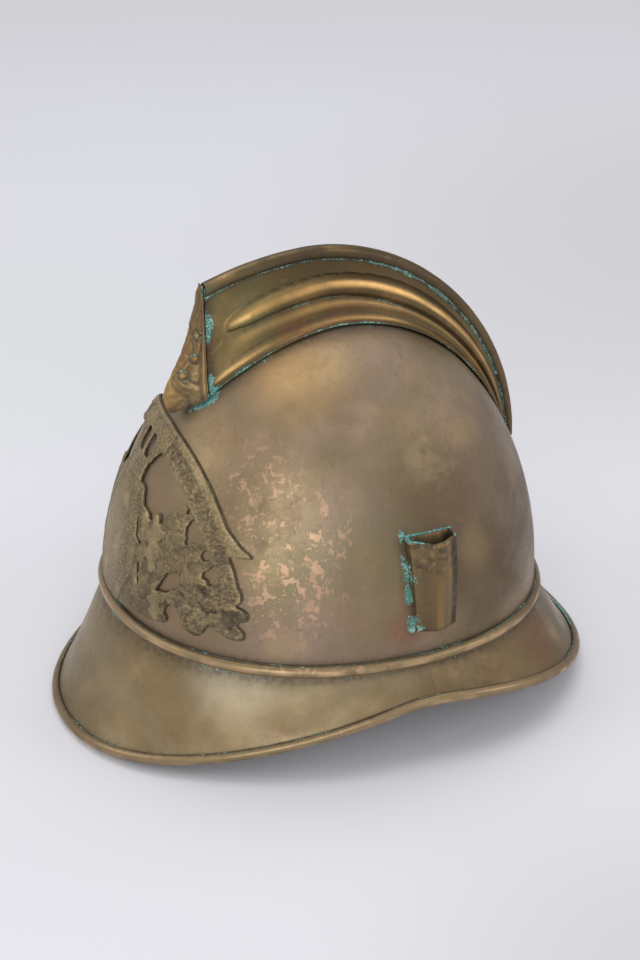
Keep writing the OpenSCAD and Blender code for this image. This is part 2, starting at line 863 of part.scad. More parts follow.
// Point inside the dome, at a distance in from its inner face and a height above its base
function inside_at(angle, in, height) = dome_at(angle, rise_for(height), -dome_t - in);

module sweatband() {
    heights = [band_lift, band_lift + band_h / 3, band_lift + band_h * 2 / 3, band_lift + band_h];
    function skin(in) = [for (h = heights) [for (c = [0:47]) inside_at(7.5 * c, in, h)]];
    color(leather) sheet(skin(band_gap), skin(band_gap + band_t), wrap = true);
}

// Distance of the tongues' outer face from the dome's inner face
function tongue_in(rise) =
    let (k = (rise - rise_for(tongue_lift)) / (tongue_top - rise_for(tongue_lift)))
    band_gap + band_t + lap_gap + 0.1 + (tongue_reach - band_gap - band_t) * pow(k, 1.3);

module tongue(middle) {
    shares = [0, 0.25, 0.5, 0.72, 0.86, 0.95, 1];
    halves = [20.5, 20, 17.5, 15.2, 14, 11.5, 6];
    spans = [-1, -0.66, -0.33, 0, 0.33, 0.66, 1];
    function skin(in) = [
        for (i = [0:len(shares) - 1])
            let (rise = between(rise_for(tongue_lift), tongue_top, shares[i]))
            [for (k = spans) dome_at(middle + halves[i] * k, rise, -dome_t - tongue_in(rise) - in)]
    ];
    sheet(skin(0), skin(tongue_t));
}

module liner_tongues() {
    color(leather) for (k = [0:7]) tongue(22.5 + 45 * k);
}

module liner_lace() {
    rise = tongue_top - 5.5;
    middle = dome_t + tongue_in(rise) + tongue_t / 2;
    swing = tongue_t / 2 + lace_r + 0.6;
    function path(angle) =
        dome_at(angle, rise, -middle - swing * swell(sin(4 * angle), 8));
    function section(angle) =
        let (
            along = unit(path(angle + 1) - path(angle - 1)),
            out = unit(cross(along, [0, 0, 1])),
            up = cross(out, along)
        )
        [for (i = [0:5]) path(angle) + (out * cos(60 * i) + up * sin(60 * i)) * lace_r];
    color(leather) swept([for (i = [0:79]) section(4.5 * i + 2.25)], ring = true);
}

module liner_clip(middle) {
    angles = [middle - clip_half, middle, middle + clip_half];
    lip = band_gap + band_t + 0.8;
    outer = [[0.3, 11], [0.3, band_lift - 1.4], [lip + 0.8, band_lift - 1.4], [lip + 0.8, 10]];
    inner = [[1.1, 11], [1.1, band_lift - 0.6], [lip, band_lift - 0.6], [lip, 10]];
    sheet(
        [for (a = angles) [for (p = outer) inside_at(a, p.x, p.y)]],
        [for (a = angles) [for (p = inner) inside_at(a, p.x, p.y)]]
    );
}

module liner_clips() {
    color(brass) for (k = [0:5]) liner_clip(60 * k);
}

// Strap rings, their brackets and rivets

// Moves children, drawn for the wearer's left, to either side
module at_bracket(side) {
    mirror([side < 0 ? 1 : 0, 0, 0])
        children();
}

module rivet_holes() {
    for (y = [-rivet_pitch / 2, rivet_pitch / 2])
        translate([dome_half_w - 6, y, base_z(y) + bead_mid_z])
            rotate([0, 90, 0])
                cylinder(r = rivet_r + 0.1, h = 10, $fn = 32);
}

module ring_bracket() {
    difference() {
        union() {
            translate([plate_x, -bracket_w / 2, ring_z])
                cube([plate_t, bracket_w, base_z(0) + bead_mid_z + 3 - ring_z]);
            translate([ring_x, -knuckle_l / 2, ring_z])
                rotate([-90, 0, 0])
                    cylinder(r = knuckle_r, h = knuckle_l, $fn = 48);
        }
        translate([ring_x, -bracket_w, ring_z])
            rotate([-90, 0, 0])
                cylinder(r = ring_r + run_gap, h = 2 * bracket_w, $fn = 48);
        for (y = [-1, 1])
            translate([plate_x - 1, y > 0 ? knuckle_l / 2 : -bracket_w, ring_z - 1])
                cube([plate_t + 2, bracket_w - knuckle_l / 2, 4]);
        rivet_holes();
    }
}

module left_ring_bracket() {
    color(brass) ring_bracket();
}

module right_ring_bracket() {
    color(brass) at_bracket(-1) ring_bracket();
}

module bracket_rivet() {
    head_x = plate_x - lap_gap / 2;
    outer_x = dome_half_w + lap_gap + brim_t + lap_gap / 2;
    rotate([0, 90, 0]) {
        translate([0, 0, head_x - rivet_head_t])
            cylinder(r = 1.8, h = rivet_head_t, $fn = 32);
        translate([0, 0, head_x - rivet_head_t / 2])
            cylinder(r = rivet_r, h = outer_x - head_x + rivet_head_t, $fn = 32);
        translate([0, 0, outer_x])
            cylinder(r = 1.4, h = rivet_head_t, $fn = 32);
    }
}

module bracket_rivets() {
    color(brass) for (side = [-1, 1]) at_bracket(side)
        for (y = [-rivet_pitch / 2, rivet_pitch / 2])
            translate([0, y, base_z(y) + bead_mid_z])
                bracket_rivet();
}

module strap_ring() {
    arm = ring_w / 2 + ring_r;
    translate([ring_x, 0, ring_z]) {
        translate([0, -arm, 0])
            rotate([-90, 0, 0])
                cylinder(r = ring_r, h = 2 * arm, $fn = 48);
        for (y = [-arm, arm]) {
            translate([0, y, 0])
                sphere(r = ring_r, $fn = 48);
            translate([0, y, -ring_leg])
                cylinder(r = ring_r, h = ring_leg, $fn = 48);
        }
        translate([0, 0, -ring_leg])
            rotate([0, 90, 0])
                rotate([0, 0, -90])
                    rotate_extrude(angle = 180, $fn = 48)
                        translate([arm, 0])
                            circle(r = ring_r, $fn = 24);
    }
}

module left_strap_ring() {
    color(brass) strap_ring();
}

module right_strap_ring() {
    color(brass) at_bracket(-1) strap_ring();
}

dome();
visor();
neck_guard();
base_bead();
visor_binding();
guard_binding();
visor_edge_wire();
guard_edge_wire();
comb_left_flank();
comb_right_flank();
comb_crest_roll();
comb_mask();
comb_tabs();
badge();
badge_pins();
plume_socket();
sweatband();
liner_tongues();
liner_lace();
liner_clips();
left_ring_bracket();
right_ring_bracket();
bracket_rivets();
left_strap_ring();
right_strap_ring();
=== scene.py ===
import math

import bmesh
import bpy
import numpy as np
from mathutils import Matrix, Vector, noise
from mathutils.geometry import delaunay_2d_cdt


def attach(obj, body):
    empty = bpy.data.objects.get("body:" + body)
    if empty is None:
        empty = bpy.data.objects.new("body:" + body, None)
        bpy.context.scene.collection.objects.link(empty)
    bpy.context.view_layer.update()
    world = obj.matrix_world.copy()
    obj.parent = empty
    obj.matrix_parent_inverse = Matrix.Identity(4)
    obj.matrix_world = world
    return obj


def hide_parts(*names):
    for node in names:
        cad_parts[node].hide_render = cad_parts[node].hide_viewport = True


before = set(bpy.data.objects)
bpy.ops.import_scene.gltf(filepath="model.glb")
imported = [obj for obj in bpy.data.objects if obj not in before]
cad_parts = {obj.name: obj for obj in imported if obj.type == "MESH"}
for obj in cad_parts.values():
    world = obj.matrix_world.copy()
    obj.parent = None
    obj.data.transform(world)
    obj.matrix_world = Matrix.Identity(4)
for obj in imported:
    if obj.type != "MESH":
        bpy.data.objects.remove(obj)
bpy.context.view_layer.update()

# Sizes in millimetres and degrees, the same as in the part's source apart from a narrower seam

DOME_HALF_W = 92.2
DOME_HALF_L = 108.7
DOME_H = 141.5
BASE_H = 48.2
DOME_LEAN = 6.4
BASE_SLOPE = math.tan(math.radians(4))
PLAN_FULLNESS = 2.14
RISE_FULLNESS = 2.05
SHEET_T = 0.8

VISOR_REACH = 29.5
GUARD_REACH = 22.9
SIDE_REACH = 7.8
VISOR_TAPER = 4.5
GUARD_TAPER = 2.0
SIDE_LIFT = 32.6
END_LIFT = 2.958
VISOR_CLIMB = 1.24
GUARD_CLIMB = 1.53
ARCH_TURN = 5.2
BRIM_FLARE = 1.12
COLLAR_H = 6.2
SEAM_ANGLE = 95.0
SEAM_HALF = 0.02

BEAD_R = 2.9
STRIP_T = 0.6
ROLL_R = 2.9
ROLL_END = 158
WIRE_R = 1.2

COMB_H = 122.4
COMB_CENTRE_Z = 56.0
COMB_CENTRE_Y = 8.5
COMB_FRONT = DOME_HALF_L + 39.3
COMB_REAR = DOME_HALF_L + 7.3
COMB_FULLNESS = 1.9
COMB_FRONT_ANGLE = 68.5
COMB_REAR_ANGLE = 179.0
COMB_FOOT_START = 52.0
COMB_FOOT_END = 155.0
COMB_FOOT_W = 10.7
COMB_FOOT_SPREAD = 2.0
COMB_FOOT_NIP = 2.2
COMB_TAIL_W = 6.0
COMB_T = 0.7
COMB_FOOT_GAP = 0.1
NECK_SHARE = 1.75
LIP_SHARE = 0.85
SHOULDER_SHARE = 0.515
RIB_H = 3.7
RIB_HALF_W = 4.7
RIB_HALF_SHARE = 0.2
RIB_SPREAD = 1.08
CREST_R = 3.8
CREST_END = 135
HEM_H = 0.8
HEM_W = 1.8
MASK_REACH = 16.2
MASK_DROP = 62.0
MASK_NOSE = 5.4
MASK_STAND = 1.0
MASK_LIP = 1.2
MASK_SEAT = 1.6

SOCKET_MOUTH_W = 25.5
SOCKET_FOOT_W = 20.5
SOCKET_MOUTH_D = 12.2
SOCKET_FOOT_D = 7.4
SOCKET_Z = 19.0
SOCKET_L = 44.5
SOCKET_Y = 14.6
SOCKET_LIP = 1.2
SOCKET_TILT = 2.6
SOCKET_T = 0.8
SOCKET_SEAT = 0.12
SOCKET_SIDES = 168

BADGE_TURN = math.radians(7)
BADGE_TOP = 103.3
BADGE_FOOT = 14.5
SCROLL_W = 9.5
BADGE_SEAT = 0.5
BADGE_STEP = 0.52

BAND_GAP = 5.0
BAND_H = 34.0
BAND_T = 1.6
BAND_LIFT = 4.0
TONGUES = 8
TONGUE_T = 1.2
TONGUE_REACH = 24.0
TONGUE_TOP = 66.0
TONGUE_LIFT = 28.0
LACE_R = 0.9

LAP_GAP = 0.15
SEAT_GAP = 0.3

DOME_Y = (VISOR_REACH - GUARD_REACH) / 2
COLLAR_MID = LAP_GAP + SHEET_T / 2
BEAD_SEAT = LAP_GAP + SHEET_T + LAP_GAP
BEAD_MID_Z = BEAD_R + LAP_GAP


# Shared shapes

FRONT = np.array(0.0)
SIDEWAYS = np.array([1.0, 0, 0])

# How many numbers of a grid are compared with a line at a time
BLOCK = 12000


def swell(value, fullness):
    return np.sign(value) * np.abs(value) ** (2 / fullness)


def between(a, b, share):
    return a + (b - a) * share


def fade(low, high, value):
    """0 below low, 1 above high, smooth between."""
    share = np.clip((value - low) / (high - low), 0, 1)
    return share * share * (3 - 2 * share)


def fall(low, high, value):
    """1 below low, 0 above high, smooth between."""
    return 1 - fade(low, high, value)


def bump(value, middle, half):
    """1 at the middle, 0 past half on either side."""
    return fall(0, half, np.abs(value - middle))


def arch(value):
    """1 at zero, falling to 0 at 1 and -1."""
    return np.clip(1 - value**2, 0, 1)


def bell(value, half):
    """1 at zero, falling away smoothly on either side."""
    return np.exp(-((value / half) ** 2))


def sine(degrees):
    return np.sin(np.radians(degrees))


def cosine(degrees):
    return np.cos(np.radians(degrees))


def hump(value, start, run):
    """A smooth swelling that begins at start and ends a run further on."""
    return np.sin(np.pi * np.clip((value - start) / run, 0, 1)) ** 2


def unit(v):
    return v / np.maximum(np.linalg.norm(v, axis=-1, keepdims=True), 1e-9)


def grid(a, b):
    return np.meshgrid(np.asarray(a, float), np.asarray(b, float), indexing="ij")


def roughen(points, size, seed):
    """Smooth noise from -1 to 1 at points in millimetres, with lumps about size across."""
    flat = points.reshape(-1, 3) / size + seed * 7.31
    values = [noise.noise(Vector(p)) for p in flat]
    return np.array(values).reshape(points.shape[:-1])


def oval(angle, half_w, half_l):
    turn = np.radians(angle)
    x = half_w * swell(np.sin(turn), PLAN_FULLNESS)
    y = -half_l * swell(np.cos(turn), PLAN_FULLNESS)
    return x, y


def base_z(y):
    return BASE_H - BASE_SLOPE * (y - DOME_Y)


def dome_at(angle, rise, off=0.0):
    up = swell(sine(rise), RISE_FULLNESS)
    wide = swell(cosine(rise), RISE_FULLNESS)
    x, along = oval(angle, (DOME_HALF_W + off) * wide, (DOME_HALF_L + off) * wide)
    y = DOME_Y + along + DOME_LEAN * up
    return np.stack([x, y, base_z(y) + (DOME_H + off) * up], -1)


def plan_reach(x, along, off):
    """How far out a place in plan is: 0 in the middle, 1 on the dome's base."""
    across = (np.abs(x) / (DOME_HALF_W + off)) ** PLAN_FULLNESS
    ahead = (np.abs(along) / (DOME_HALF_L + off)) ** PLAN_FULLNESS
    return (across + ahead) ** (1 / PLAN_FULLNESS)


def dome_over(x, along, off=0.0):
    wide = plan_reach(x, along, off)
    up = np.maximum(0, 1 - wide**RISE_FULLNESS) ** (1 / RISE_FULLNESS)
    y = DOME_Y + along + DOME_LEAN * up
    return np.stack(np.broadcast_arrays(x, y, base_z(y) + (DOME_H + off) * up), -1)


def dome_side(y, z):
    up = (z - base_z(y)) / DOME_H
    wide = (1 - up**RISE_FULLNESS) ** (1 / RISE_FULLNESS)
    along = np.abs(y - DOME_Y - DOME_LEAN * up) / DOME_HALF_L
    return DOME_HALF_W * (wide**PLAN_FULLNESS - along**PLAN_FULLNESS) ** (1 / PLAN_FULLNESS)


def rise_for(height):
    return np.degrees(np.arcsin((height / DOME_H) ** (RISE_FULLNESS / 2)))


def reach_at(angle):
    c = cosine(angle)
    front = between(SIDE_REACH, VISOR_REACH, np.maximum(c, 0) ** VISOR_TAPER)
    rear = between(GUARD_REACH, SIDE_REACH, np.maximum(1 + c, 0) ** GUARD_TAPER)
    return np.where(c > 0, front, rear)


def edge_at(angle):
    angle = np.asarray(angle, float)
    reach = reach_at(angle)
    x, along = oval(angle, DOME_HALF_W + reach, DOME_HALF_L + reach)
    turn = np.degrees(np.arccos(np.clip(cosine(angle), -1, 1)))
    top = 90 + ARCH_TURN
    past = 180 - (180 - turn) * 90 / (180 - top)
    along_c = cosine(np.where(turn < top, turn * 90 / top, past))
    fall = np.abs(along_c) ** np.where(along_c > 0, VISOR_CLIMB, GUARD_CLIMB)
    return np.stack([x, DOME_Y + along, between(SIDE_LIFT, END_LIFT, fall)], -1)


def collar_at(angle, off, up):
    x, along = oval(angle, DOME_HALF_W + off, DOME_HALF_L + off)
    y = DOME_Y + along
    return np.stack(np.broadcast_arrays(x, y, base_z(y) + up), -1)


def brim_mid(angle, share):
    top = collar_at(angle, COLLAR_MID, -0.6)
    edge = edge_at(angle)
    fall = 1 - (1 - share) ** BRIM_FLARE
    shares = np.stack(np.broadcast_arrays(share, share, fall), -1)
    return top + (edge - top) * shares


def brim_normal(angle, share):
    a = brim_mid(angle, np.maximum(0, share - 0.05))
    b = brim_mid(angle, np.minimum(1, share + 0.05))
    down = unit(b - a)
    level = np.linalg.norm(down[..., :2], axis=-1)
    out = down[..., :2] / level[..., None]
    return np.stack([-out[..., 0] * down[..., 2], -out[..., 1] * down[..., 2], level], -1)


def brim_run(angle):
    one = np.ones_like(angle)
    return unit(brim_mid(angle, one) - brim_mid(angle, one * 0.9))


def crest_at(station):
    turn = np.radians(between(COMB_FRONT_ANGLE, COMB_REAR_ANGLE, station))
    reach = np.where(np.cos(turn) > 0, COMB_FRONT, COMB_REAR)
    y = DOME_Y - COMB_CENTRE_Y - swell(np.cos(turn), COMB_FULLNESS) * reach
    z = BASE_H + COMB_CENTRE_Z + swell(np.sin(turn), COMB_FULLNESS) * COMB_H
    return np.stack([y, z], -1)


def foot_w(station):
    spread = COMB_FOOT_SPREAD * cosine(np.minimum(90, np.abs(station - 0.14) * 500)) ** 2
    nip = COMB_FOOT_NIP * np.maximum(0, 1 - station / 0.07) ** 1.5
    return between(COMB_FOOT_W, COMB_TAIL_W, station**4) + spread - nip


def foot_at(station):
    share = station + 0.7 * station * (1 - station) ** 3
    turn = np.radians(between(COMB_FOOT_START, COMB_FOOT_END, share))
    return dome_over(foot_w(station), -DOME_HALF_L * np.cos(turn))[..., 1:]


def flank_h(station):
    return np.linalg.norm(foot_at(station) - crest_at(station), axis=-1)


def rib_at(station):
    start = np.sqrt(np.clip((station - 0.035) / 0.04, 0, 1))
    return RIB_H * start * np.clip((0.97 - station) / 0.2, 0, 1)


def rib_share(station):
    return 0.39 + 0.06 * np.maximum(0, 1 - station / 0.25)


def roll_at(station):
    return CREST_R * (1 - 0.25 * station**4)


def comb_axis(station):
    """Top of the comb and the direction down its flank, at a station along it."""
    top = crest_at(station)
    return top, unit(foot_at(station) - top)


def flank_reach(station):
    """Depths at which a flank starts under the crest roll and ends at its foot."""
    return NECK_SHARE * roll_at(station), flank_h(station) - SEAT_GAP - COMB_T - COMB_FOOT_GAP


def rib_half(run):
    return RIB_SPREAD * np.minimum(RIB_HALF_W / run, RIB_HALF_SHARE)


def flank_half(station, share):
    """Half width of the comb at a share of the way down its flank."""
    neck, end = flank_reach(station)
    run = end - neck
    hem = np.minimum(HEM_H, 0.12 * run) / run
    place = (share - rib_share(station)) / rib_half(run)
    place = place / (0.3 + 0.7 * np.sqrt(np.clip((station - 0.035) / 0.05, 0, 1)))
    rib = np.sqrt(arch(place)) * (1 - 0.25 * fade(0.6, 1, np.abs(place)))
    swell_in = fade(0.02, 0.2, station) * fall(0.75, 0.97, station)
    belly = 1.1 * hump(share, 0.54, 0.3) + 0.6 * hump(share, 0.84, 0.14)
    flat = between(SHOULDER_SHARE * roll_at(station), foot_w(station) - 0.4, np.clip(share, 0, 1) ** 1.2)
    spread = (HEM_W + 0.4) * fade(1 - 3.2 * hem, 1, share) ** 2
    return flat + rib_at(station) * rib + belly * swell_in + spread


def front_profile():
    """Half widths and depths of the flank's front edge, as the mask meets it."""
    r = roll_at(FRONT)
    neck, end = flank_reach(FRONT)
    foot = foot_w(FRONT)
    shares = np.array([0, 0.3, 0.74, 0.88])
    halves = between(SHOULDER_SHARE * r, foot - 0.4, shares**1.2)
    hem = min(HEM_H, 0.12 * (end - neck))
    depths = np.concatenate([[r * LIP_SHARE], neck + (end - neck) * shares, [end - hem, end]])
    widths = np.concatenate([[COMB_T + LAP_GAP / 2], halves, [foot, foot + HEM_W]])
    return depths, widths


def mask_point(share, across):
    depths, widths = front_profile()
    top, down = comb_axis(FRONT)
    depth = share * flank_h(FRONT)
    w = np.interp(depth, depths, widths) + MASK_LIP
    back_y = top[0] + down[0] * depth - MASK_STAND
    back_z = top[1] + down[1] * depth
    nose = MASK_NOSE * sine(180 * share**3.5)
    keel_y = top[0] - MASK_STAND - MASK_REACH * share - nose
    keel_z = top[1] - MASK_DROP * share
    k = np.abs(across) ** between(1.4, 1.1, share)
    x = w * across
    y = between(keel_y, back_y, k)
    z = between(keel_z, back_z, k)
    seat = dome_over(x, y - DOME_Y - DOME_LEAN * 0.75, MASK_SEAT)
    return np.stack([x, y, np.maximum(z, seat[..., 2])], -1)


def socket_ring(share, inset):
    w = between(SOCKET_FOOT_W, SOCKET_MOUTH_W, share) / 2 - inset
    d = between(SOCKET_FOOT_D, SOCKET_MOUTH_D, share)
    ridge = between(4, 5, share) / 2
    mid = DOME_Y + SOCKET_Y
    low = BASE_H + SOCKET_Z + SOCKET_L * share
    high = low + SOCKET_LIP * share**6
    fall = SOCKET_TILT / 2 * share**6
    rear = SOCKET_SEAT + inset
    side_x = dome_side(mid + w, low) + SEAT_GAP + 0.2
    step = low + 0.3 * (high - low)
    return np.array(
        [
            [dome_side(mid - w, high) + rear, mid - w, high + fall],
            [side_x + 0.5 * d, mid - w, step + fall],
            [side_x + d - inset, mid - ridge + 0.4 * inset, low],
            [side_x + d - inset, mid + ridge - 0.4 * inset, low],
            [side_x + 0.5 * d, mid + w, step - fall],
            [dome_side(mid + w, high) + rear, mid + w, high - fall],
            [dome_side(mid, high) + rear, mid, high],
        ]
    )


# Meshes


def quads(rows, cols, first, wrap=False):
    r = np.arange(rows - 1)[:, None]
    c = np.arange(cols if wrap else cols - 1)[None, :]
    a = first + r * cols + c
    b = first + r * cols + (c + 1) % cols
    return np.stack([a, a + cols, b + cols, b], -1).reshape(-1, 4).tolist()


def strip(a, b):
    return [[a[i], a[i + 1], b[i + 1], b[i]] for i in range(len(a) - 1)]


def normals(points):
    """Directions square to a grid of points."""
    return unit(np.cross(np.gradient(points, axis=1), np.gradient(points, axis=0)))


def shifted(outer, inner, amount):
    """Both skins of a sheet, moved outwards by an amount at each point."""
    move = unit(outer - inner) * amount[..., None]
    return outer + move, inner + move


def with_x(x, yz):
    return np.stack(np.broadcast_arrays(x, *np.moveaxis(yz, -1, 0)), -1)


def finish_mesh(name, points, faces, material, marks, nodes, sharp=40):
    """Makes a smooth mesh from points in millimetres and rides it on the helmet."""
    mesh = bpy.data.meshes.new(name)
    mesh.from_pydata((np.asarray(points) * 0.001).tolist(), [], faces)
    for mark, values in marks.items():
        layer = mesh.attributes.new(mark, "FLOAT", "POINT")
        layer.data.foreach_set("value", np.clip(values, 0, 1).astype(np.float32))
    work = bmesh.new()
    work.from_mesh(mesh)
    bmesh.ops.remove_doubles(work, verts=work.verts, dist=2e-7)
    bmesh.ops.recalc_face_normals(work, faces=work.faces)
    for face in work.faces:
        face.smooth = True
    work.to_mesh(mesh)
    work.free()
    mesh.set_sharp_from_angle(angle=math.radians(sharp))
    mesh.materials.append(material)
    piece = bpy.data.objects.new(name, mesh)
    bpy.context.scene.collection.objects.link(piece)
    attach(piece, "helmet")
    if nodes:
        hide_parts(*nodes)


def sheet_parts(outer, inner, wrap=False):
    """Points and faces of a closed sheet between two matching grids."""
    rows, cols = outer.shape[:2]
    count = rows * cols
    points = np.concatenate([outer.reshape(-1, 3), inner.reshape(-1, 3)])
    faces = quads(rows, cols, 0, wrap) + quads(rows, cols, count, wrap)
    foot = [c % cols for c in range(cols + 1 if wrap else cols)]
    rims = [foot, [c + (rows - 1) * cols for c in foot]]
    if not wrap:
        side = [r * cols for r in range(rows)]
        rims += [side, [i + cols - 1 for i in side]]
    for rim in rims:
        faces += strip(rim, [i + count for i in rim])
    return points, faces


def sheet(name, outer, inner, slot, material, nodes, wrap=False, **marks):
    """A sheet piece, with marks given on the outer grid and used on the inner one too."""
    points, faces = sheet_parts(outer, inner, wrap)
    doubled = {}
    for mark, values in marks.items():
        flat = np.broadcast_to(values, outer.shape[:2]).ravel()
        doubled[mark] = np.concatenate([flat, flat])
    finish_mesh(name, points, faces, material, doubled, nodes)


def rolled(middle, across, up, turn, r):
    """Points round a middle line, at an angle from one direction to another."""
    return middle + across * (r * cosine(turn))[..., None] + up * (r * sine(turn))[..., None]


def ring_parts(path, radius, sides):
    """Points and faces of a round tube along a closed path."""
    along = unit(np.roll(path, -1, 0) - np.roll(path, 1, 0))
    out = unit(np.cross(along, [0, 0, 1.0]))
    up = np.cross(out, along)
    turn = np.linspace(0, 2 * np.pi, sides, endpoint=False)
    rim = out[:, None] * np.cos(turn)[None, :, None] + up[:, None] * np.sin(turn)[None, :, None]
    points = (path[:, None] + rim * radius[:, None, None]).reshape(-1, 3)
    faces = np.array(quads(len(path) + 1, sides, 0, True)) % len(points)
    return points, faces.tolist()


def near(points, line, radius):
    """1 on a line of points, falling to 0 a few radii away."""
    blocks = np.array_split(points.reshape(-1, 3), 1 + points.size // BLOCK)
    gaps = [np.linalg.norm(block[:, None] - line[None], axis=-1).min(1) for block in blocks]
    return bell(np.concatenate(gaps), radius).reshape(points.shape[:-1])


def walked(line):
    """Distance along a line of points, at each of them."""
    return np.concatenate([[0], np.cumsum(np.linalg.norm(np.diff(line, axis=0), axis=1))])


def respaced(line, count):
    """The same line in a count of even steps."""
    walk = walked(line)
    places = np.linspace(0, walk[-1], count + 1)
    return np.stack([np.interp(places, walk, column) for column in line.T], -1)


def looped(line):
    return np.concatenate([line, line[:1]])


# Materials


def tone(red, green, blue):
    """A colour given as 0 to 255 on screen."""
    values = np.array([red, green, blue]) / 255
    linear = np.where(values <= 0.04045, values / 12.92, ((values + 0.055) / 1.055) ** 2.4)
    return (*[float(v) for v in linear], 1.0)


class Finish:
    """A material, with short calls that add its nodes."""

    def __init__(self, name):
        self.material = bpy.data.materials.new(name)
        self.material.use_nodes = True
        self.tree = self.material.node_tree
        self.shader = self.tree.nodes["Principled BSDF"]
        self.where = self.tree.nodes.new("ShaderNodeTexCoord").outputs["Object"]

    def feed(self, socket, value):
        if isinstance(value, bpy.types.NodeSocket):
            self.tree.links.new(value, socket)
        else:
            socket.default_value = value

    def add(self, kind, settings=None, **inputs):
        node = self.tree.nodes.new(kind)
        for key, value in (settings or {}).items():
            setattr(node, key, value)
        self.fill(node, inputs)
        return node

    def fill(self, node, inputs):
        for key, value in inputs.items():
            self.feed(node.inputs[key.replace("_", " ")], value)

    def surface(self, **inputs):
        self.fill(self.shader, inputs)

    def noise(self, scale, detail=4.0, rough=0.55, where=None, distort=0.0):
        inputs = {"Vector": where or self.where, "Scale": scale, "Detail": detail}
        node = self.add("ShaderNodeTexNoise", Roughness=rough, Distortion=distort, **inputs)
        return node.outputs["Fac"]

    def cells(self, scale):
        settings = {"feature": "DISTANCE_TO_EDGE"}
        return self.add("ShaderNodeTexVoronoi", settings, Scale=scale, Vector=self.where).outputs["Distance"]

    def math(self, kind, a, b=0.0):
        node = self.add("ShaderNodeMath", {"operation": kind})
        self.feed(node.inputs[0], a)
        self.feed(node.inputs[1], b)
        return node.outputs[0]

    def times(self, *values):
        total = values[0]
        for value in values[1:]:
            total = self.math("MULTIPLY", total, value)
        return total

    def plus(self, *values):
        total = values[0]
        for value in values[1:]:
            total = self.math("ADD", total, value)
        return total

    def ramp(self, value, low, high, to_low=0.0, to_high=1.0):
        span = {"From_Min": low, "From_Max": high, "To_Min": to_low, "To_Max": to_high}
        node = self.add("ShaderNodeMapRange", {"interpolation_type": "SMOOTHSTEP"}, Value=value, **span)
        return node.outputs["Result"]

    def mix(self, share, a, b):
        node = self.add("ShaderNodeMix", {"data_type": "RGBA"})
        self.feed(node.inputs[0], share)
        self.feed(node.inputs[6], a)
        self.feed(node.inputs[7], b)
        return node.outputs[2]

    def coat(self, share, tint):
        """Lays a tint over the colour so far."""
        self.colour = self.mix(share, self.colour, tint)

    def blob(self, centre, radius, soft=0.6):
        """1 near a place in millimetres, 0 past its radius."""
        node = self.add("ShaderNodeVectorMath", {"operation": "DISTANCE"})
        self.feed(node.inputs[0], self.where)
        node.inputs[1].default_value = [v * 0.001 for v in centre]
        return self.ramp(node.outputs["Value"], radius * 0.001, radius * 0.001 * (1 - soft))

    def mark(self, name):
        return self.add("ShaderNodeAttribute", {"attribute_name": name}).outputs["Fac"]

    def stretched(self, scale, turn=(0.0, 0.0, 0.0)):
        turn = [math.radians(v) for v in turn]
        return self.add("ShaderNodeMapping", Vector=self.where, Rotation=turn, Scale=scale).outputs["Vector"]

    def shape(self, height, strength, distance):
        node = self.add("ShaderNodeBump", Strength=strength, Distance=distance, Height=height)
        self.surface(Normal=node.outputs["Normal"])


VERDIGRIS = tone(78, 134, 124)
PALE_VERDIGRIS = tone(148, 192, 180)
GRIME_AND_SHADE = tone(42, 33, 22)
SALTS = tone(98, 106, 84)
COPPER = tone(188, 152, 122)
SOOT = tone(64, 50, 32)
# Gold tint for patches on the dome, comb and mask: a painted highlight
GOLD_HIGHLIGHT = tone(184, 146, 86)
# Dark brown for tinted places; the patches of it towards the back of the helmet are painted shade
DARK_AND_PAINTED_SHADE = tone(70, 52, 34)
OLIVE = tone(112, 112, 74)
RED = tone(132, 84, 60)
BROWN = tone(128, 108, 78)
# Pale tint for a patch on the visor: a painted highlight
PALE_HIGHLIGHT = tone(208, 196, 168)


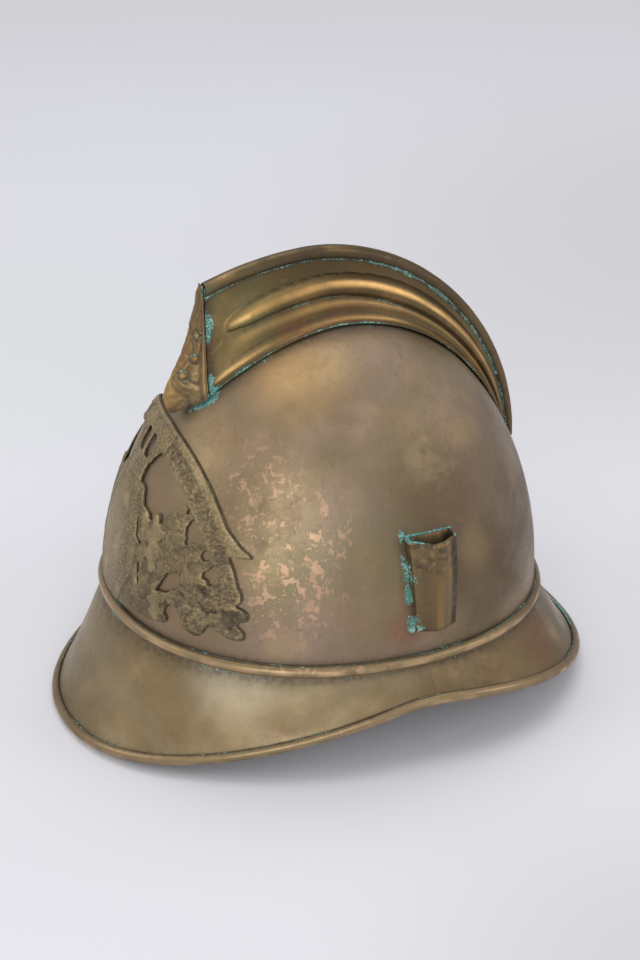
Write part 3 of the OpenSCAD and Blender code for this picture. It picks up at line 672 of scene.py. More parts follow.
def brass(name, base, second, bright, rough, metal, shift, tints_and_painted_light=(), specks=(), pebble=0.0):
    """Aged brass: two tarnish colours, tinted places, copper specks, dirt, wear and verdigris; some tinted
    places are painted highlight or painted shade, the dirt mark also paints shade and the wear mark also
    paints highlights.
    """
    f = Finish(name)
    here = f.where
    moved = (shift, shift * 0.7, -shift)
    f.where = f.add("ShaderNodeMapping", Vector=here, Location=moved).outputs["Vector"]
    far = f.noise(11.0, 3.0, 0.5, distort=0.4)
    middle = f.noise(42.0, 5.0, 0.6)
    fine = f.noise(330.0, 5.0, 0.65)
    grain = f.noise(1500.0, 3.0, 0.6)
    f.where = here
    streaks = f.noise(1.0, 3.0, 0.6, f.stretched((700.0, 60.0, 12.0), (12.0, 25.0, 40.0)))
    cross = f.noise(1.0, 3.0, 0.6, f.stretched((20.0, 640.0, 90.0), (-25.0, 10.0, 15.0)))
    scratches = f.math("MAXIMUM", f.ramp(streaks, 0.66, 0.74), f.ramp(cross, 0.68, 0.76))

    f.colour = f.mix(f.ramp(f.plus(f.times(far, 0.75), f.times(middle, 0.3)), 0.44, 0.62), base, second)
    f.coat(f.ramp(middle, 0.5, 0.78, 0.0, 0.32), bright)
    f.coat(f.ramp(fine, 0.52, 0.7, 0.0, 0.15), SOOT)
    # Tinted places: some are the metal's own tone, others a painted highlight or painted shade
    for centre, radius, strength, tint in tints_and_painted_light:
        share = f.times(f.blob(centre, radius, 0.8), f.ramp(middle, 0.3, 0.6, 0.6, 1.0))
        f.coat(f.times(share, strength), tint)
    beads = f.noise(850.0, 2.0, 0.5)
    if pebble:
        f.coat(f.ramp(beads, 0.52, 0.4, 0.0, 0.5 * pebble), GRIME_AND_SHADE)
        f.coat(f.ramp(beads, 0.54, 0.66, 0.0, 0.4 * pebble), bright)
    for centre, radius, size, strength in specks:
        spots = f.ramp(f.noise(size, 4.0, 0.6, distort=0.3), 0.56, 0.6)
        dust = f.ramp(f.noise(size * 4.2, 2.0, 0.5), 0.64, 0.68)
        share = f.times(f.math("MAXIMUM", spots, f.times(dust, 0.7)), f.blob(centre, radius, 0.7))
        f.coat(f.times(share, strength), COPPER)
    pits = f.ramp(f.noise(430.0, 2.0, 0.5), 0.76, 0.8)
    f.coat(f.times(pits, 0.5), GRIME_AND_SHADE)
    f.coat(f.times(scratches, 0.14), bright)

    # Wear mark: real wear in most places, a painted highlight on the comb's rib and belly, the crest roll
    # and the socket
    worn = f.times(f.mark("worn"), f.ramp(middle, 0.3, 0.6, 0.45, 1.0))
    f.coat(worn, bright)
    # Dirt mark: real dirt in most places, painted shade under the comb's rib and roll, on the socket's sides
    # and the badge's edges
    grime = f.times(f.mark("grime"), f.ramp(fine, 0.3, 0.62, 0.55, 1.0))
    f.coat(f.times(grime, 0.85), GRIME_AND_SHADE)
    grit = f.noise(1100.0, 2.0, 0.5)
    crust = f.plus(f.mark("verdigris"), f.times(middle, 1.3), f.times(fine, 0.5), f.times(grit, 0.6))
    green = f.times(f.ramp(crust, 1.76, 1.98), f.ramp(f.mark("verdigris"), 0.04, 0.22))
    pale = f.times(f.ramp(grit, 0.48, 0.6), f.ramp(fine, 0.4, 0.56))
    salts = f.mix(f.ramp(far, 0.42, 0.56, 0.0, 0.55), VERDIGRIS, SALTS)
    f.coat(green, f.mix(pale, salts, PALE_VERDIGRIS))
    f.surface(Base_Color=f.colour)

    bare = f.math("SUBTRACT", 1.0, f.math("MAXIMUM", green, f.times(grime, 0.6)))
    f.surface(Metallic=f.times(bare, metal))
    gloss = f.plus(f.ramp(middle, 0.3, 0.7, rough - 0.07, rough + 0.09), f.ramp(fine, 0.3, 0.7, -0.03, 0.06))
    gloss = f.plus(gloss, f.times(green, 0.35), f.times(grime, 0.2), f.times(worn, -0.1))
    f.surface(Roughness=gloss)
    height = f.plus(f.times(fine, 0.5), f.times(grain, 0.12), f.times(scratches, -0.18), f.times(pits, -0.5))
    height = f.plus(height, f.times(green, f.plus(0.6, f.times(pale, 0.8))), f.times(beads, 2.2 * pebble))
    f.shape(height, 0.35, 0.0004)
    return f.material


def leather(name, base, second, grain_scale, rough):
    """Worn leather: grain, creases, rubbed edges and dark stains."""
    f = Finish(name)
    far = f.noise(18.0, 4.0, 0.6)
    creases = f.noise(1.0, 5.0, 0.65, f.stretched((60.0, 60.0, 240.0)))
    grain = f.cells(grain_scale)
    fine = f.noise(900.0, 4.0, 0.6)
    f.colour = f.mix(f.ramp(far, 0.36, 0.64), base, second)
    f.coat(f.ramp(creases, 0.56, 0.7, 0.0, 0.5), tone(34, 22, 14))
    f.coat(f.ramp(grain, 0.08, 0.0, 0.0, 0.35), tone(40, 26, 16))
    f.coat(f.times(f.mark("worn"), f.ramp(fine, 0.3, 0.6)), tone(168, 122, 80))
    f.coat(f.times(f.mark("grime"), 0.8), tone(30, 22, 16))
    f.surface(Base_Color=f.colour)
    f.surface(Roughness=f.ramp(far, 0.3, 0.7, rough - 0.08, rough + 0.12))
    height = f.plus(f.ramp(grain, 0.0, 0.12, 0.0, 0.6), f.times(creases, 0.8), f.times(fine, 0.2))
    f.shape(height, 0.5, 0.0005)
    return f.material


def iron(name):
    """Plain wire with a brown film of rust."""
    f = Finish(name)
    rust = f.ramp(f.noise(220.0, 5.0, 0.65), 0.4, 0.62)
    f.surface(Base_Color=f.mix(rust, tone(118, 112, 106), tone(98, 62, 40)))
    f.surface(Metallic=f.ramp(rust, 0.0, 1.0, 0.9, 0.2))
    f.surface(Roughness=f.ramp(rust, 0.0, 1.0, 0.4, 0.8))
    f.shape(f.noise(900.0, 4.0, 0.6), 0.3, 0.0003)
    return f.material


dome_brass = brass(
    "dome_brass", tone(134, 117, 90), tone(145, 125, 107), tone(174, 148, 106), 0.43, 0.72, 0.0,
    # Tinted places on the dome: the gold patches at the top front are a painted highlight, the dark patches
    # towards the back painted shade
    tints_and_painted_light=[
        ((29, -24, 178), 36, 0.55, GOLD_HIGHLIGHT), ((46, -48, 150), 26, 0.1, GOLD_HIGHLIGHT), ((48, 92, 100), 80, 0.6, DARK_AND_PAINTED_SHADE),
        ((84, 52, 76), 50, 0.5, DARK_AND_PAINTED_SHADE), ((76, 28, 128), 46, 0.6, DARK_AND_PAINTED_SHADE), ((40, -92, 120), 66, 0.7, BROWN),
        ((92, -12, 84), 40, 0.5, BROWN), ((44, -95, 66), 60, 0.7, BROWN), ((94, 4, 68), 16, 0.5, RED),
        ((90, 24, 92), 30, 0.35, DARK_AND_PAINTED_SHADE), ((32, -6, 180), 26, 0.5, BROWN), ((29, -60, 157), 20, 0.4, DARK_AND_PAINTED_SHADE),
        ((75, -51, 102), 28, 0.35, OLIVE), ((82, -14, 110), 36, 0.35, OLIVE),
    ],
    specks=[
        ((74, -46, 112), 44, 150.0, 0.8), ((54, -54, 142), 26, 230.0, 0.6), ((62, -62, 122), 22, 320.0, 0.5),
        ((78, -50, 88), 30, 190.0, 0.8),
    ],
)
brim_brass = brass(
    "brim_brass", tone(138, 118, 84), tone(150, 134, 104), tone(180, 156, 112), 0.38, 0.76, 0.31,
    # Tinted places on the brim: the dark patches towards the back are painted shade, the pale patch on the
    # visor a painted highlight
    tints_and_painted_light=[
        ((60, 112, 30), 90, 0.6, DARK_AND_PAINTED_SHADE), ((0, -125, 20), 45, 0.35, DARK_AND_PAINTED_SHADE), ((100, 34, 36), 44, 0.6, DARK_AND_PAINTED_SHADE),
        ((82, 92, 40), 30, 0.5, RED), ((60, -70, 44), 31, 0.6, PALE_HIGHLIGHT),
    ],
    specks=[((100, -70, 22), 26, 190.0, 0.6)],
)
trim_brass = brass(
    "trim_brass", tone(150, 127, 96), tone(136, 118, 84), tone(204, 170, 132), 0.4, 0.72, 0.57,
    # Tinted places on the binding: the dark patch at the back is painted shade
    tints_and_painted_light=[((60, 112, 30), 90, 0.5, DARK_AND_PAINTED_SHADE), ((0, -130, 10), 50, 0.3, DARK_AND_PAINTED_SHADE)],
    specks=[((90, -40, 52), 46, 260.0, 0.7)],
)
comb_brass = brass(
    "comb_brass", tone(104, 90, 56), tone(111, 91, 60), tone(194, 154, 96), 0.37, 0.78, 0.83,
    # Tinted places on the comb: the gold patch is a painted highlight, the dark patch at the back painted
    # shade
    tints_and_painted_light=[
        ((10, -58, 209), 16, 0.7, OLIVE), ((10, -30, 218), 14, 0.6, OLIVE), ((10, -62, 186), 12, 0.7, RED),
        ((10, -15, 189), 15, 0.5, RED), ((10, 8, 192), 16, 0.45, RED), ((10, -6, 204), 12, 0.3, GOLD_HIGHLIGHT),
        ((0, 10, 229), 60, 0.6, DARK_AND_PAINTED_SHADE), ((0, 70, 205), 40, 0.5, DARK_AND_PAINTED_SHADE), ((-10, -40, 205), 26, 0.5, OLIVE),
        ((-10, 20, 200), 22, 0.4, RED), ((12, -36, 200), 16, 0.6, OLIVE),
    ],
)
badge_brass = brass(
    "badge_brass", tone(132, 116, 84), tone(122, 104, 74), tone(186, 164, 118), 0.46, 0.62, 1.13,
    pebble=0.7,
)
mask_brass = brass(
    "mask_brass", tone(128, 108, 72), tone(112, 90, 62), tone(182, 140, 84), 0.4, 0.7, 2.07,
    # Tinted places on the mask: the gold patch is a painted highlight
    tints_and_painted_light=[((4, -72, 186), 12, 0.6, RED), ((0, -78, 178), 9, 0.4, GOLD_HIGHLIGHT)],
)
socket_brass = brass(
    "socket_brass", tone(112, 93, 62), tone(100, 78, 54), tone(172, 134, 86), 0.42, 0.7, 1.41,
    # Tinted places on the socket: the dark patch on its front side is painted shade
    tints_and_painted_light=[((100, 26, 80), 7, 0.6, RED), ((98, 8, 100), 12, 0.5, DARK_AND_PAINTED_SHADE)],
)
fitting_brass = brass(
    "fitting_brass", tone(142, 116, 68), tone(120, 98, 62), tone(190, 156, 96), 0.38, 0.8, 1.73,
)
band_leather = leather("band_leather", tone(84, 56, 36), tone(62, 42, 28), 900.0, 0.5)
tongue_leather = leather("tongue_leather", tone(112, 76, 48), tone(88, 58, 38), 700.0, 0.58)
lace_leather = leather("lace_leather", tone(70, 46, 30), tone(54, 36, 24), 1400.0, 0.6)
wire_iron = iron("wire_iron")


# Dome

DOME_DENTS = [
    ((57.2, -57.6, 131.4), 5.5, 0.55),
    ((63.8, -60.7, 114.8), 4.5, 0.5),
    ((88.0, -20.0, 96.0), 7.0, 0.4),
    ((40.0, 72.0, 150.0), 9.0, 0.6),
    ((-70.0, 30.0, 130.0), 10.0, 0.7),
    ((-60.0, -50.0, 125.0), 6.0, 0.5),
    ((-30.0, 85.0, 140.0), 7.0, 0.5),
]


def dented(points, dents):
    """Depth of the dents at each point, in millimetres."""
    depth = np.zeros(points.shape[:-1])
    for centre, radius, deep in dents:
        gap = np.linalg.norm(points - np.array(centre), axis=-1)
        depth += deep * bell(gap, radius)
    return depth


def dome_sheet():
    angles = np.arange(0, 360, 1.2)
    rises = np.concatenate([np.linspace(0, 84, 100), np.linspace(85, 90, 7)])
    rise, angle = grid(rises, angles)
    outer = dome_at(angle, rise)
    inner = dome_at(angle, rise, -SHEET_T)
    near_top = fade(2, 9, rise) * fall(80, 88, rise)
    wave = 0.5 + 0.5 * roughen(outer, 34, 1) + 0.25 * roughen(outer, 11, 2)
    sink = (0.32 * wave + dented(outer, DOME_DENTS)) * near_top
    outer, inner = shifted(outer, inner, -sink)
    height = outer[..., 2] - base_z(outer[..., 1])
    foot = near(outer, comb_foot_line(), 3.4)
    toe = near(outer, mask_foot_line(), 3.6)
    seat = near(outer, socket_side_line(), 3.0)
    low = np.exp(-np.maximum(height - 6.0, 0) / 2.2)
    step = fade(-0.7, 0.1, roughen(outer, 9, 60))
    sheet(
        "dome_shell", outer, inner, "brass_dome", dome_brass, ["dome"], wrap=True,
        grime=0.75 * foot + 0.6 * low + 0.4 * dented(outer, DOME_DENTS) + 0.5 * toe + 0.6 * seat,
        verdigris=0.5 * near(outer, comb_foot_line(), 2.2) + 0.3 * low + 1.25 * toe + 1.1 * seat * step,
        worn=0.25 * fade(0.1, 0.6, roughen(outer, 26, 3)),
    )


def mask_foot_line():
    share, across = grid(np.linspace(0.86, 1, 12), [-1, 1])
    ends = mask_point(share, across).reshape(-1, 3)
    return np.concatenate([ends, mask_point(np.ones(31), np.linspace(-1, 1, 31))])


def socket_side_line():
    shares = np.linspace(0, 1, 40)
    corners = np.array([socket_ring(share, 0.0)[0] for share in shares])
    return corners - [0.5, 1.2, 0]


def comb_foot_line():
    stations = np.linspace(0, 1, 160)
    foot = foot_at(stations)
    half = foot_w(stations) + HEM_W
    left = np.stack([half, foot[:, 0], foot[:, 1]], -1)
    return np.concatenate([left, left * [-1, 1, 1]])


# Brim

BEAD_DENTS = [((94.5, -25.0, 52.0), 2.4, 0.7)]
ROLL_DENTS = [((88.0, -82.0, 14.0), 3.0, 0.35)]
BRIM_DENTS = [
    ((98.0, -62.0, 22.0), 7.0, 0.7),
    ((40.0, -118.0, 24.0), 9.0, 0.5),
    ((30.0, 124.0, 20.0), 8.0, 0.6),
    ((-86.0, 70.0, 32.0), 7.0, 0.6),
]


def brim_part(name, node, start, stop, count):
    angles = np.linspace(start, stop, count)
    ups = np.array([COLLAR_H, 4.2, 2.8, 1.4, 0.2])
    shares = np.concatenate([[0.03, 0.06, 0.1], np.linspace(0.14, 0.94, 17)])
    angle, share = grid(angles, [*shares, 1.0])
    skirt = brim_mid(angle, share)
    skirt[:, -1:] = edge_at(angle[:, -1:]) - brim_run(angle[:, -1:]) * (WIRE_R + 2 * LAP_GAP)
    up = brim_normal(angle, share)

    def skin(side):
        collar = collar_at(angles[:, None], COLLAR_MID + side * SHEET_T / 2, ups)
        return np.concatenate([collar, skirt + up * side * SHEET_T / 2], 1)

    outer, inner = skin(1), skin(-1)
    across = np.concatenate([np.zeros(len(ups)), shares, [1.0]])[None, :]
    soft = fade(0.04, 0.2, across) * fall(0.8, 0.95, across)
    wave = 0.45 * roughen(outer, 30, 4) + 0.16 * roughen(outer, 9, 5)
    outer, inner = shifted(outer, inner, (wave - dented(outer, BRIM_DENTS)) * soft)
    sheet(
        name, outer, inner, "brass_brim", brim_brass, [node],
        grime=0.8 * bell(across, 0.12) + 0.75 * fade(0.86, 1, across),
        verdigris=0.5 * bell(across, 0.1) + 0.5 * fade(0.9, 1, across),
        worn=0.4 * bump(across, 0.55, 0.3) * fade(0.0, 0.5, roughen(outer, 22, 6)),
    )


def bead_ring():
    angle, turn = grid(np.arange(0, 360, 1.0), np.linspace(90, -90, 15))

    def skin(r):
        return collar_at(angle, BEAD_SEAT + 0.95 * r * cosine(turn), BEAD_MID_Z + r * sine(turn))

    outer, inner = [np.swapaxes(skin(r), 0, 1) for r in (BEAD_R, BEAD_R - STRIP_T)]
    sink = 0.1 + 0.1 * roughen(outer, 14, 7) + dented(outer, BEAD_DENTS)
    outer, inner = shifted(outer, inner, -sink * sine(90 - np.abs(turn.T)) ** 0.5)
    edge = np.abs(turn.T) / 90
    sheet(
        "base_bead_strip", outer, inner, "brass_trim", trim_brass, ["base_bead"], wrap=True,
        grime=0.95 * fade(0.66, 1, edge),
        verdigris=0.66 * fade(0.7, 1, edge),
        worn=0.75 * fall(0.1, 0.5, edge) * fade(-0.4, 0.4, roughen(outer, 12, 8)),
    )


# Places where the binding's upper lip has sprung open
LIP_OPENING = [(102.0, -32.0, 29.0), (102.5, -26.0, 30.5), (103.0, -20.0, 31.5)]

# Place of a green stain on the roll at the back
ROLL_STAIN = np.array([[20.0, 136.0, 6.0]])


def binding_part(name, node, start, stop, count):
    angle, turn = grid(np.linspace(start, stop, count), np.linspace(-ROLL_END, ROLL_END, 27))
    middle = edge_at(angle)
    run = brim_run(angle)
    lift = brim_normal(angle, np.ones_like(angle))
    outer, inner = [rolled(middle, run, lift, turn, r) for r in (ROLL_R - 0.15, ROLL_R - STRIP_T - 0.1)]
    sink = 0.07 + 0.07 * roughen(outer, 10, 9) + dented(outer, ROLL_DENTS)
    outer, _ = shifted(outer, inner, -sink)
    gaping = near(middle, np.array(LIP_OPENING), 8.0) * fade(70, ROLL_END, turn)
    opened = (0.9 * lift + 0.5 * run) * gaping[..., None]
    outer = outer + opened
    inner = inner + opened
    face = np.abs(turn)
    sheet(
        name, outer, inner, "brass_trim", trim_brass, [node],
        grime=0.9 * fade(112, 150, face),
        verdigris=0.62 * fade(118, 150, face) + 0.5 * near(outer, ROLL_STAIN, 16),
        worn=0.9 * fall(25, 80, face) * fade(-0.3, 0.5, roughen(outer, 9, 10)),
    )


# Comb

COMB_DENTS = [((13, -4, 207), 2.6, 0.9), ((9, 60, 190), 5.0, 0.6), ((-10, 20, 200), 5.0, 0.8)]


def lip_point(station, side):
    """Edge of the flank inside the crest roll."""
    top, down = comb_axis(station)
    return with_x(side * (COMB_T + LAP_GAP / 2), top + down * LIP_SHARE * roll_at(station)[..., None])


def flank_part(name, node, side):
    stations = np.concatenate([np.linspace(0, 0.1, 40), np.linspace(0.103, 1, 230)])
    shares = np.concatenate([np.linspace(0, 0.95, 76), np.linspace(0.955, 1, 12)])
    station, share = grid(stations, shares)
    top, down = comb_axis(station)
    neck, end = flank_reach(station)
    half = flank_half(station, share)
    middle = with_x(0.0, top + down * between(neck, end, share)[..., None])
    spots = middle + SIDEWAYS * side * half[..., None]
    quiet = fade(0.05, 0.15, share) * fall(0.9, 0.97, share)
    half = half - quiet * (0.16 + 0.16 * roughen(spots, 15, 11) + dented(spots, COMB_DENTS))
    lip = lip_point(stations, side)[:, None]
    outer = np.concatenate([lip, middle + SIDEWAYS * side * half[..., None]], 1)
    out = normals(outer)
    out = out * np.sign(out[..., :1] * side)
    inner = outer - out * COMB_T
    inner[..., 0] = side * np.maximum(side * inner[..., 0], 0.06)

    share, station, run = [np.concatenate([v[:, :1], v], 1) for v in (share, station, end - neck)]
    front = bell(station, 0.012)
    along = fade(0.02, 0.1, station)
    reach = rib_half(run)
    past = share - rib_share(station)
    # Darkening just under the rib is its painted shadow, and the dark line low on the flank is painted shade
    # in a crease
    crease = bump(past, reach + 0.01, 0.1) + 0.4 * bump(past, -reach - 0.01, 0.04)
    crease = crease + bump(share, 0.845, 0.035)
    patches = np.maximum(bump(share, 0.34, 0.3), bump(share, 0.9, 0.14))
    # Dark band just under the crest roll: painted shade
    under_roll = fall(0.0, 0.07, share)
    hem = fade(0.95, 1, share)
    green = 0.75 * fall(0.0, 0.06, share) + 0.66 * hem + 0.5 * bump(past, reach + 0.02, 0.05) * along
    green = green + (0.35 + 0.5 * patches) * front + 0.2 * patches * fall(0.02, 0.1, station)
    # Light bands along the rib's top and across the flank's belly: painted highlights
    worn = 1.2 * bump(past, -0.04, 0.09) + 0.4 * bump(share, 0.68, 0.12)
    sheet(
        name, outer, inner, "brass_comb", comb_brass, [node],
        grime=0.95 * under_roll + 0.7 * crease * along + 0.7 * hem + front,
        verdigris=green,
        worn=worn * along + 0.5 * bump(share, 0.93, 0.05),
    )


def crest_roll():
    station, turn = grid(np.linspace(0, 1, 260), np.linspace(-CREST_END, CREST_END, 27))
    top, down = comb_axis(station)
    middle = with_x(0.0, top + down * roll_at(station)[..., None])
    up = with_x(0.0, -down)
    outer, inner = [rolled(middle, up, SIDEWAYS, turn, roll_at(station) - cut) for cut in (0.2, 0.7)]
    outer, _ = shifted(outer, inner, -0.08 - 0.08 * roughen(outer, 9, 12))
    face = np.abs(turn)
    # Lighter band on one side of the roll only: a painted highlight, broken up by noise
    worn = 0.7 * bump(turn, 40, 40) * fade(-0.3, 0.5, roughen(outer, 12, 45))
    sheet(
        "comb_crest_strip", outer, inner, "brass_comb", comb_brass, ["comb_crest_roll"],
        # Darker on the roll's underside: painted shade
        grime=0.8 * fade(84, 120, face) + 0.3 + 0.3 * fade(-0.2, 0.6, roughen(outer, 8, 13)),
        verdigris=0.66 * fade(104, 132, face) + 0.3 * bump(station, 0.52, 0.3),
        worn=worn * fall(0.15, 0.4, station),
    )


# Knobs of the mask's face, as share down it, place across it, radius and height
KNOBS = [(0.42, 0.64, 1.6, 0.8), (0.62, 0.68, 1.7, 0.8), (0.73, 0.42, 1.9, 0.8)]


def mask_part():
    share, across = grid(np.linspace(0.014, 1, 150), np.linspace(-1, 1, 121))
    base = mask_point(share, across)
    out = normals(base)
    out = out * np.where(out[..., 1:2] > 0, -1, 1)
    face = base + out * COMB_T
    side = np.abs(across)
    lift = np.zeros(share.shape)
    hollow = np.zeros(share.shape)
    for down, place, radius, height in KNOBS:
        for sign in (-1, 1):
            centre = mask_point(np.array(down), np.array(sign * place))
            gap = np.linalg.norm(base - centre, axis=-1) / radius
            gap = gap * (1 + 0.3 * roughen(base, 2.4, 49)) + 0.15 * roughen(base, 1.1, 50)
            lift = np.maximum(lift, height * arch(gap))
            hollow = np.maximum(hollow, bump(gap, 1.35, 0.7))
    wave = side - 0.55 - 0.22 * np.sin(15 * share)
    ridge = bump(wave, 0, 0.16) * fade(0.16, 0.3, share) * fall(0.84, 0.95, share)
    rim = bump(side, 0.93, 0.07) * fade(0.02, 0.1, share)
    nose = bump(side, 0, 0.5) * bump(share, 0.86, 0.2)
    inner = fall(0.82, 0.88, side) * fade(0.06, 0.14, share)
    relief = 0.7 * rim + inner * (np.maximum(lift, 0.7 * ridge) - 0.4 * hollow * (lift <= 0) + 0.5 * nose)
    coarse = 0.2 * roughen(face, 4, 14) + 0.22 * inner * roughen(face, 2.2, 48)
    face = face + out * (relief + coarse)[..., None]
    crease = inner * np.maximum(hollow * (lift <= 0), bump(np.abs(wave), 0.22, 0.1))
    crease = np.maximum(crease, bump(side, 0.84, 0.06))
    back = fade(0.94, 1.0, side)
    flecks = fade(-0.4, 0.4, roughen(face, 2.6, 56))
    sheet(
        "comb_mask_plate", face, base, "brass_comb", mask_brass, ["comb_mask"],
        grime=0.7 * crease + 0.5 * back + 0.7 * fade(0.93, 1, share) + 0.3 * fall(0, 0.3, share),
        verdigris=0.5 * back + 0.6 * fade(0.95, 1, share) + 0.8 * hollow * flecks,
        worn=0.6 * nose + 0.3 * fade(0.3, 1.0, lift) + 0.5 * rim,
    )


# Plume socket


def closed_curve(corners):
    """Even points round a closed polygon, softened at its corners."""
    curve = respaced(looped(corners), SOCKET_SIDES)[:-1]
    for _ in range(2):
        curve = (np.roll(curve, 1, 0) + 2 * curve + np.roll(curve, -1, 0)) / 4
    return curve


def socket_part():
    shares = np.concatenate([np.linspace(0, 0.94, 60), np.linspace(0.95, 1, 12)])

    def skin(inset):
        return np.array([closed_curve(socket_ring(share, inset)) for share in shares])

    outer, inner = skin(0.0), skin(SOCKET_T)
    share = shares[:, None]
    free = fade(0.3, 1.2, outer[..., 0] - dome_side(outer[..., 1], outer[..., 2]) - 0.5)
    outer, inner = shifted(outer, inner, (-0.22 - 0.22 * roughen(outer, 11, 15)) * free)
    drop = 0.5 + 0.5 * roughen(outer * [1, 1, 0], 3.0, 16)
    lip = fade(0.955, 1, share) * drop * 0.9
    outer[..., 2] -= lip
    inner[..., 2] -= lip
    crumbs = fade(0.6, 0.78, share) * free
    outer, _ = shifted(outer, inner, crumbs * 0.3 * np.minimum(0, roughen(outer, 1.7, 57)))
    half = between(SOCKET_FOOT_W, SOCKET_MOUTH_W, share) / 2
    across = (outer[..., 1] - DOME_Y - SOCKET_Y) / half
    corner = np.exp(-free / 0.3)
    left = across + 1
    strip = bell(left, 0.3) * bump(share, 0.62, 0.28) + bell(left, 0.5) * bump(share, 0.1, 0.3)
    strip = np.maximum(strip, bell(left, 0.4) * fade(0.9, 0.98, share))
    crust = strip * (0.62 + 0.5 * roughen(outer, 2.4, 61))
    # Band down the sleeve's middle ridge, used for a painted highlight
    lit = fall(0.1, 0.26, np.abs(across - 0.02))
    sheet(
        "plume_socket_sleeve", outer, inner, "brass_socket", socket_brass, ["plume_socket"], wrap=True,
        # Dirt mark across the sleeve: painted shade on the facet towards the front, a painted shadow along
        # the back edge
        grime=0.4 * corner + 0.6 * fall(0.0, 0.05, share) + 0.5 * fade(0.95, 1, share)
        + 0.42 * bump(across, -0.55, 0.5) + 1.1 * fade(0.62, 0.72, across) * (share < 0.99)
        + 0.7 * crumbs * fade(-0.1, 0.4, roughen(outer, 3.2, 58)),
        verdigris=0.2 * corner + crust + 0.62 * fade(0.97, 1, share),
        # Wear mark down the middle ridge and on the facet towards the back: painted highlights
        worn=0.5 * bump(share, 0.97, 0.04) + 0.4 * lit * fall(0.5, 0.7, share)
        + 0.5 * crumbs * fade(0.1, 0.5, roughen(outer, 2.1, 59)) + 0.25 * bump(across, 0.5, 0.2),
    )


# Liner


def inside_at(angle, inset, height):
    return dome_at(angle, rise_for(height), -SHEET_T - inset)


def sweatband():
    angles = np.arange(0, 360, 1.5)
    heights = np.linspace(BAND_LIFT, BAND_LIFT + BAND_H, 26)
    height, angle = grid(heights, angles)
    share = (height - BAND_LIFT) / BAND_H
    wave = 0.35 * sine(6 * angle) + 0.25 * np.sin(np.radians(17 * angle) + 3 * share)
    edge = 0.3 * bump(share, 0.0, 0.1) + 0.3 * bump(share, 1.0, 0.1)
    stitch = bump(share, 0.1, 0.045) + bump(share, 0.9, 0.045)
    inset = BAND_GAP + 0.45 + wave * 0.6 + edge
    dimple = 0.35 * stitch * (0.5 + 0.5 * cosine(120 * angle))
    outer, inner = [inside_at(angle, inset + deep, height) for deep in (0, BAND_T - dimple)]
    rubbed = fade(0, 0.7, roughen(inner, 12, 19))
    sheet(
        "sweatband_strip", inner, outer, "leather_band", band_leather, ["sweatband"], wrap=True,
        grime=0.5 * stitch + 0.5 * fade(0.3, 0.9, roughen(inner, 16, 18)),
        worn=0.6 * bump(share, 0, 0.08) + 0.3 * bump(share, 0.5, 0.3) * rubbed,
    )


def tongue_in(rise):
    share = np.clip((rise - rise_for(TONGUE_LIFT)) / (TONGUE_TOP - rise_for(TONGUE_LIFT)), 0, 1)
    return BAND_GAP + BAND_T + LAP_GAP + 0.1 + (TONGUE_REACH - BAND_GAP - BAND_T) * share**1.3


# A tongue's half width in degrees, at shares of the way up it
TONGUE_SHARES = [0, 0.25, 0.5, 0.72, 0.86, 0.95, 1]
TONGUE_HALVES = [20.5, 20, 17.5, 15.2, 14, 11.5, 6]


def tongue_part(number):
    middle = 360 / TONGUES * (number + 0.5)
    shares = np.linspace(0, 1, 46)
    share, across = grid(shares, np.linspace(-1, 1, 31))
    half = np.interp(shares, TONGUE_SHARES, TONGUE_HALVES)[:, None]
    rise = between(rise_for(TONGUE_LIFT), TONGUE_TOP, share)
    angle = middle + half * across
    wave = 0.35 * np.sin(3.0 * share + number) + 0.4 * np.sin(2.4 * across + 1.7 * number)
    curl = 0.9 * np.abs(across) ** 3 * fade(0.3, 1, share) + 1.1 * fade(0.9, 1, share)
    inset = tongue_in(rise) + (wave * fade(0.15, 0.5, share)) + curl * 0.7 + 0.35
    outer = dome_at(angle, rise, -SHEET_T - inset)
    inner = dome_at(angle, rise, -SHEET_T - inset - TONGUE_T)
    edge = fade(0.88, 1, np.abs(across)) + fade(0.95, 1, share)
    hole = bump(share, 0.885, 0.04) * (bump(across, -0.62, 0.09) + bump(across, 0.62, 0.09))
    dimple = (inner - outer) / TONGUE_T * (0.5 * hole)[..., None]
    nodes = ["liner_tongues"] if number == 0 else []
    sheet(
        f"liner_tongue_{number + 1}", inner - dimple, outer, "leather_tongues", tongue_leather, nodes,
        grime=0.95 * hole + 0.35 * edge + 0.4 * fade(0.2, 0.8, roughen(inner, 14, 20 + number)),
        worn=0.4 * edge * fade(0, 0.5, roughen(inner, 5, 30 + number)) + 0.2 * bump(share, 0.6, 0.2),
    )


def lace_part():
    angles = np.arange(0, 360, 0.75)
    rise = TONGUE_TOP - 5.5
    middle = SHEET_T + tongue_in(np.array(rise)) + TONGUE_T / 2
    swing = TONGUE_T / 2 + LACE_R + 0.6
    off = -middle - swing * swell(sine(4 * angles), 8)
    path = dome_at(angles, rise + 0.5 * sine(11 * angles), off)
    radius = LACE_R * (1 + 0.08 * sine(60 * angles))
    points, faces = ring_parts(path, radius, 10)
    finish_mesh("liner_lace_cord", points, faces, lace_leather, {}, ["liner_lace"])


# Badge


def scroll_edge(x):
    """Height of the ribbon's upper edge."""
    return BADGE_TOP - 0.7 - 0.0043 * x**2 - 9e-7 * x**4


def scroll_w(x):
    return SCROLL_W + 0.04 * x


def softened(points, closed):
    """Cuts the corners of a polygon, or of a line whose ends stay."""
    points = np.array(points, float)
    following = np.roll(points, -1, 0)
    cut = np.stack([0.75 * points + 0.25 * following, 0.25 * points + 0.75 * following], 1).reshape(-1, 2)
    return cut if closed else np.concatenate([points[:1], cut[1:-3], points[-1:]])


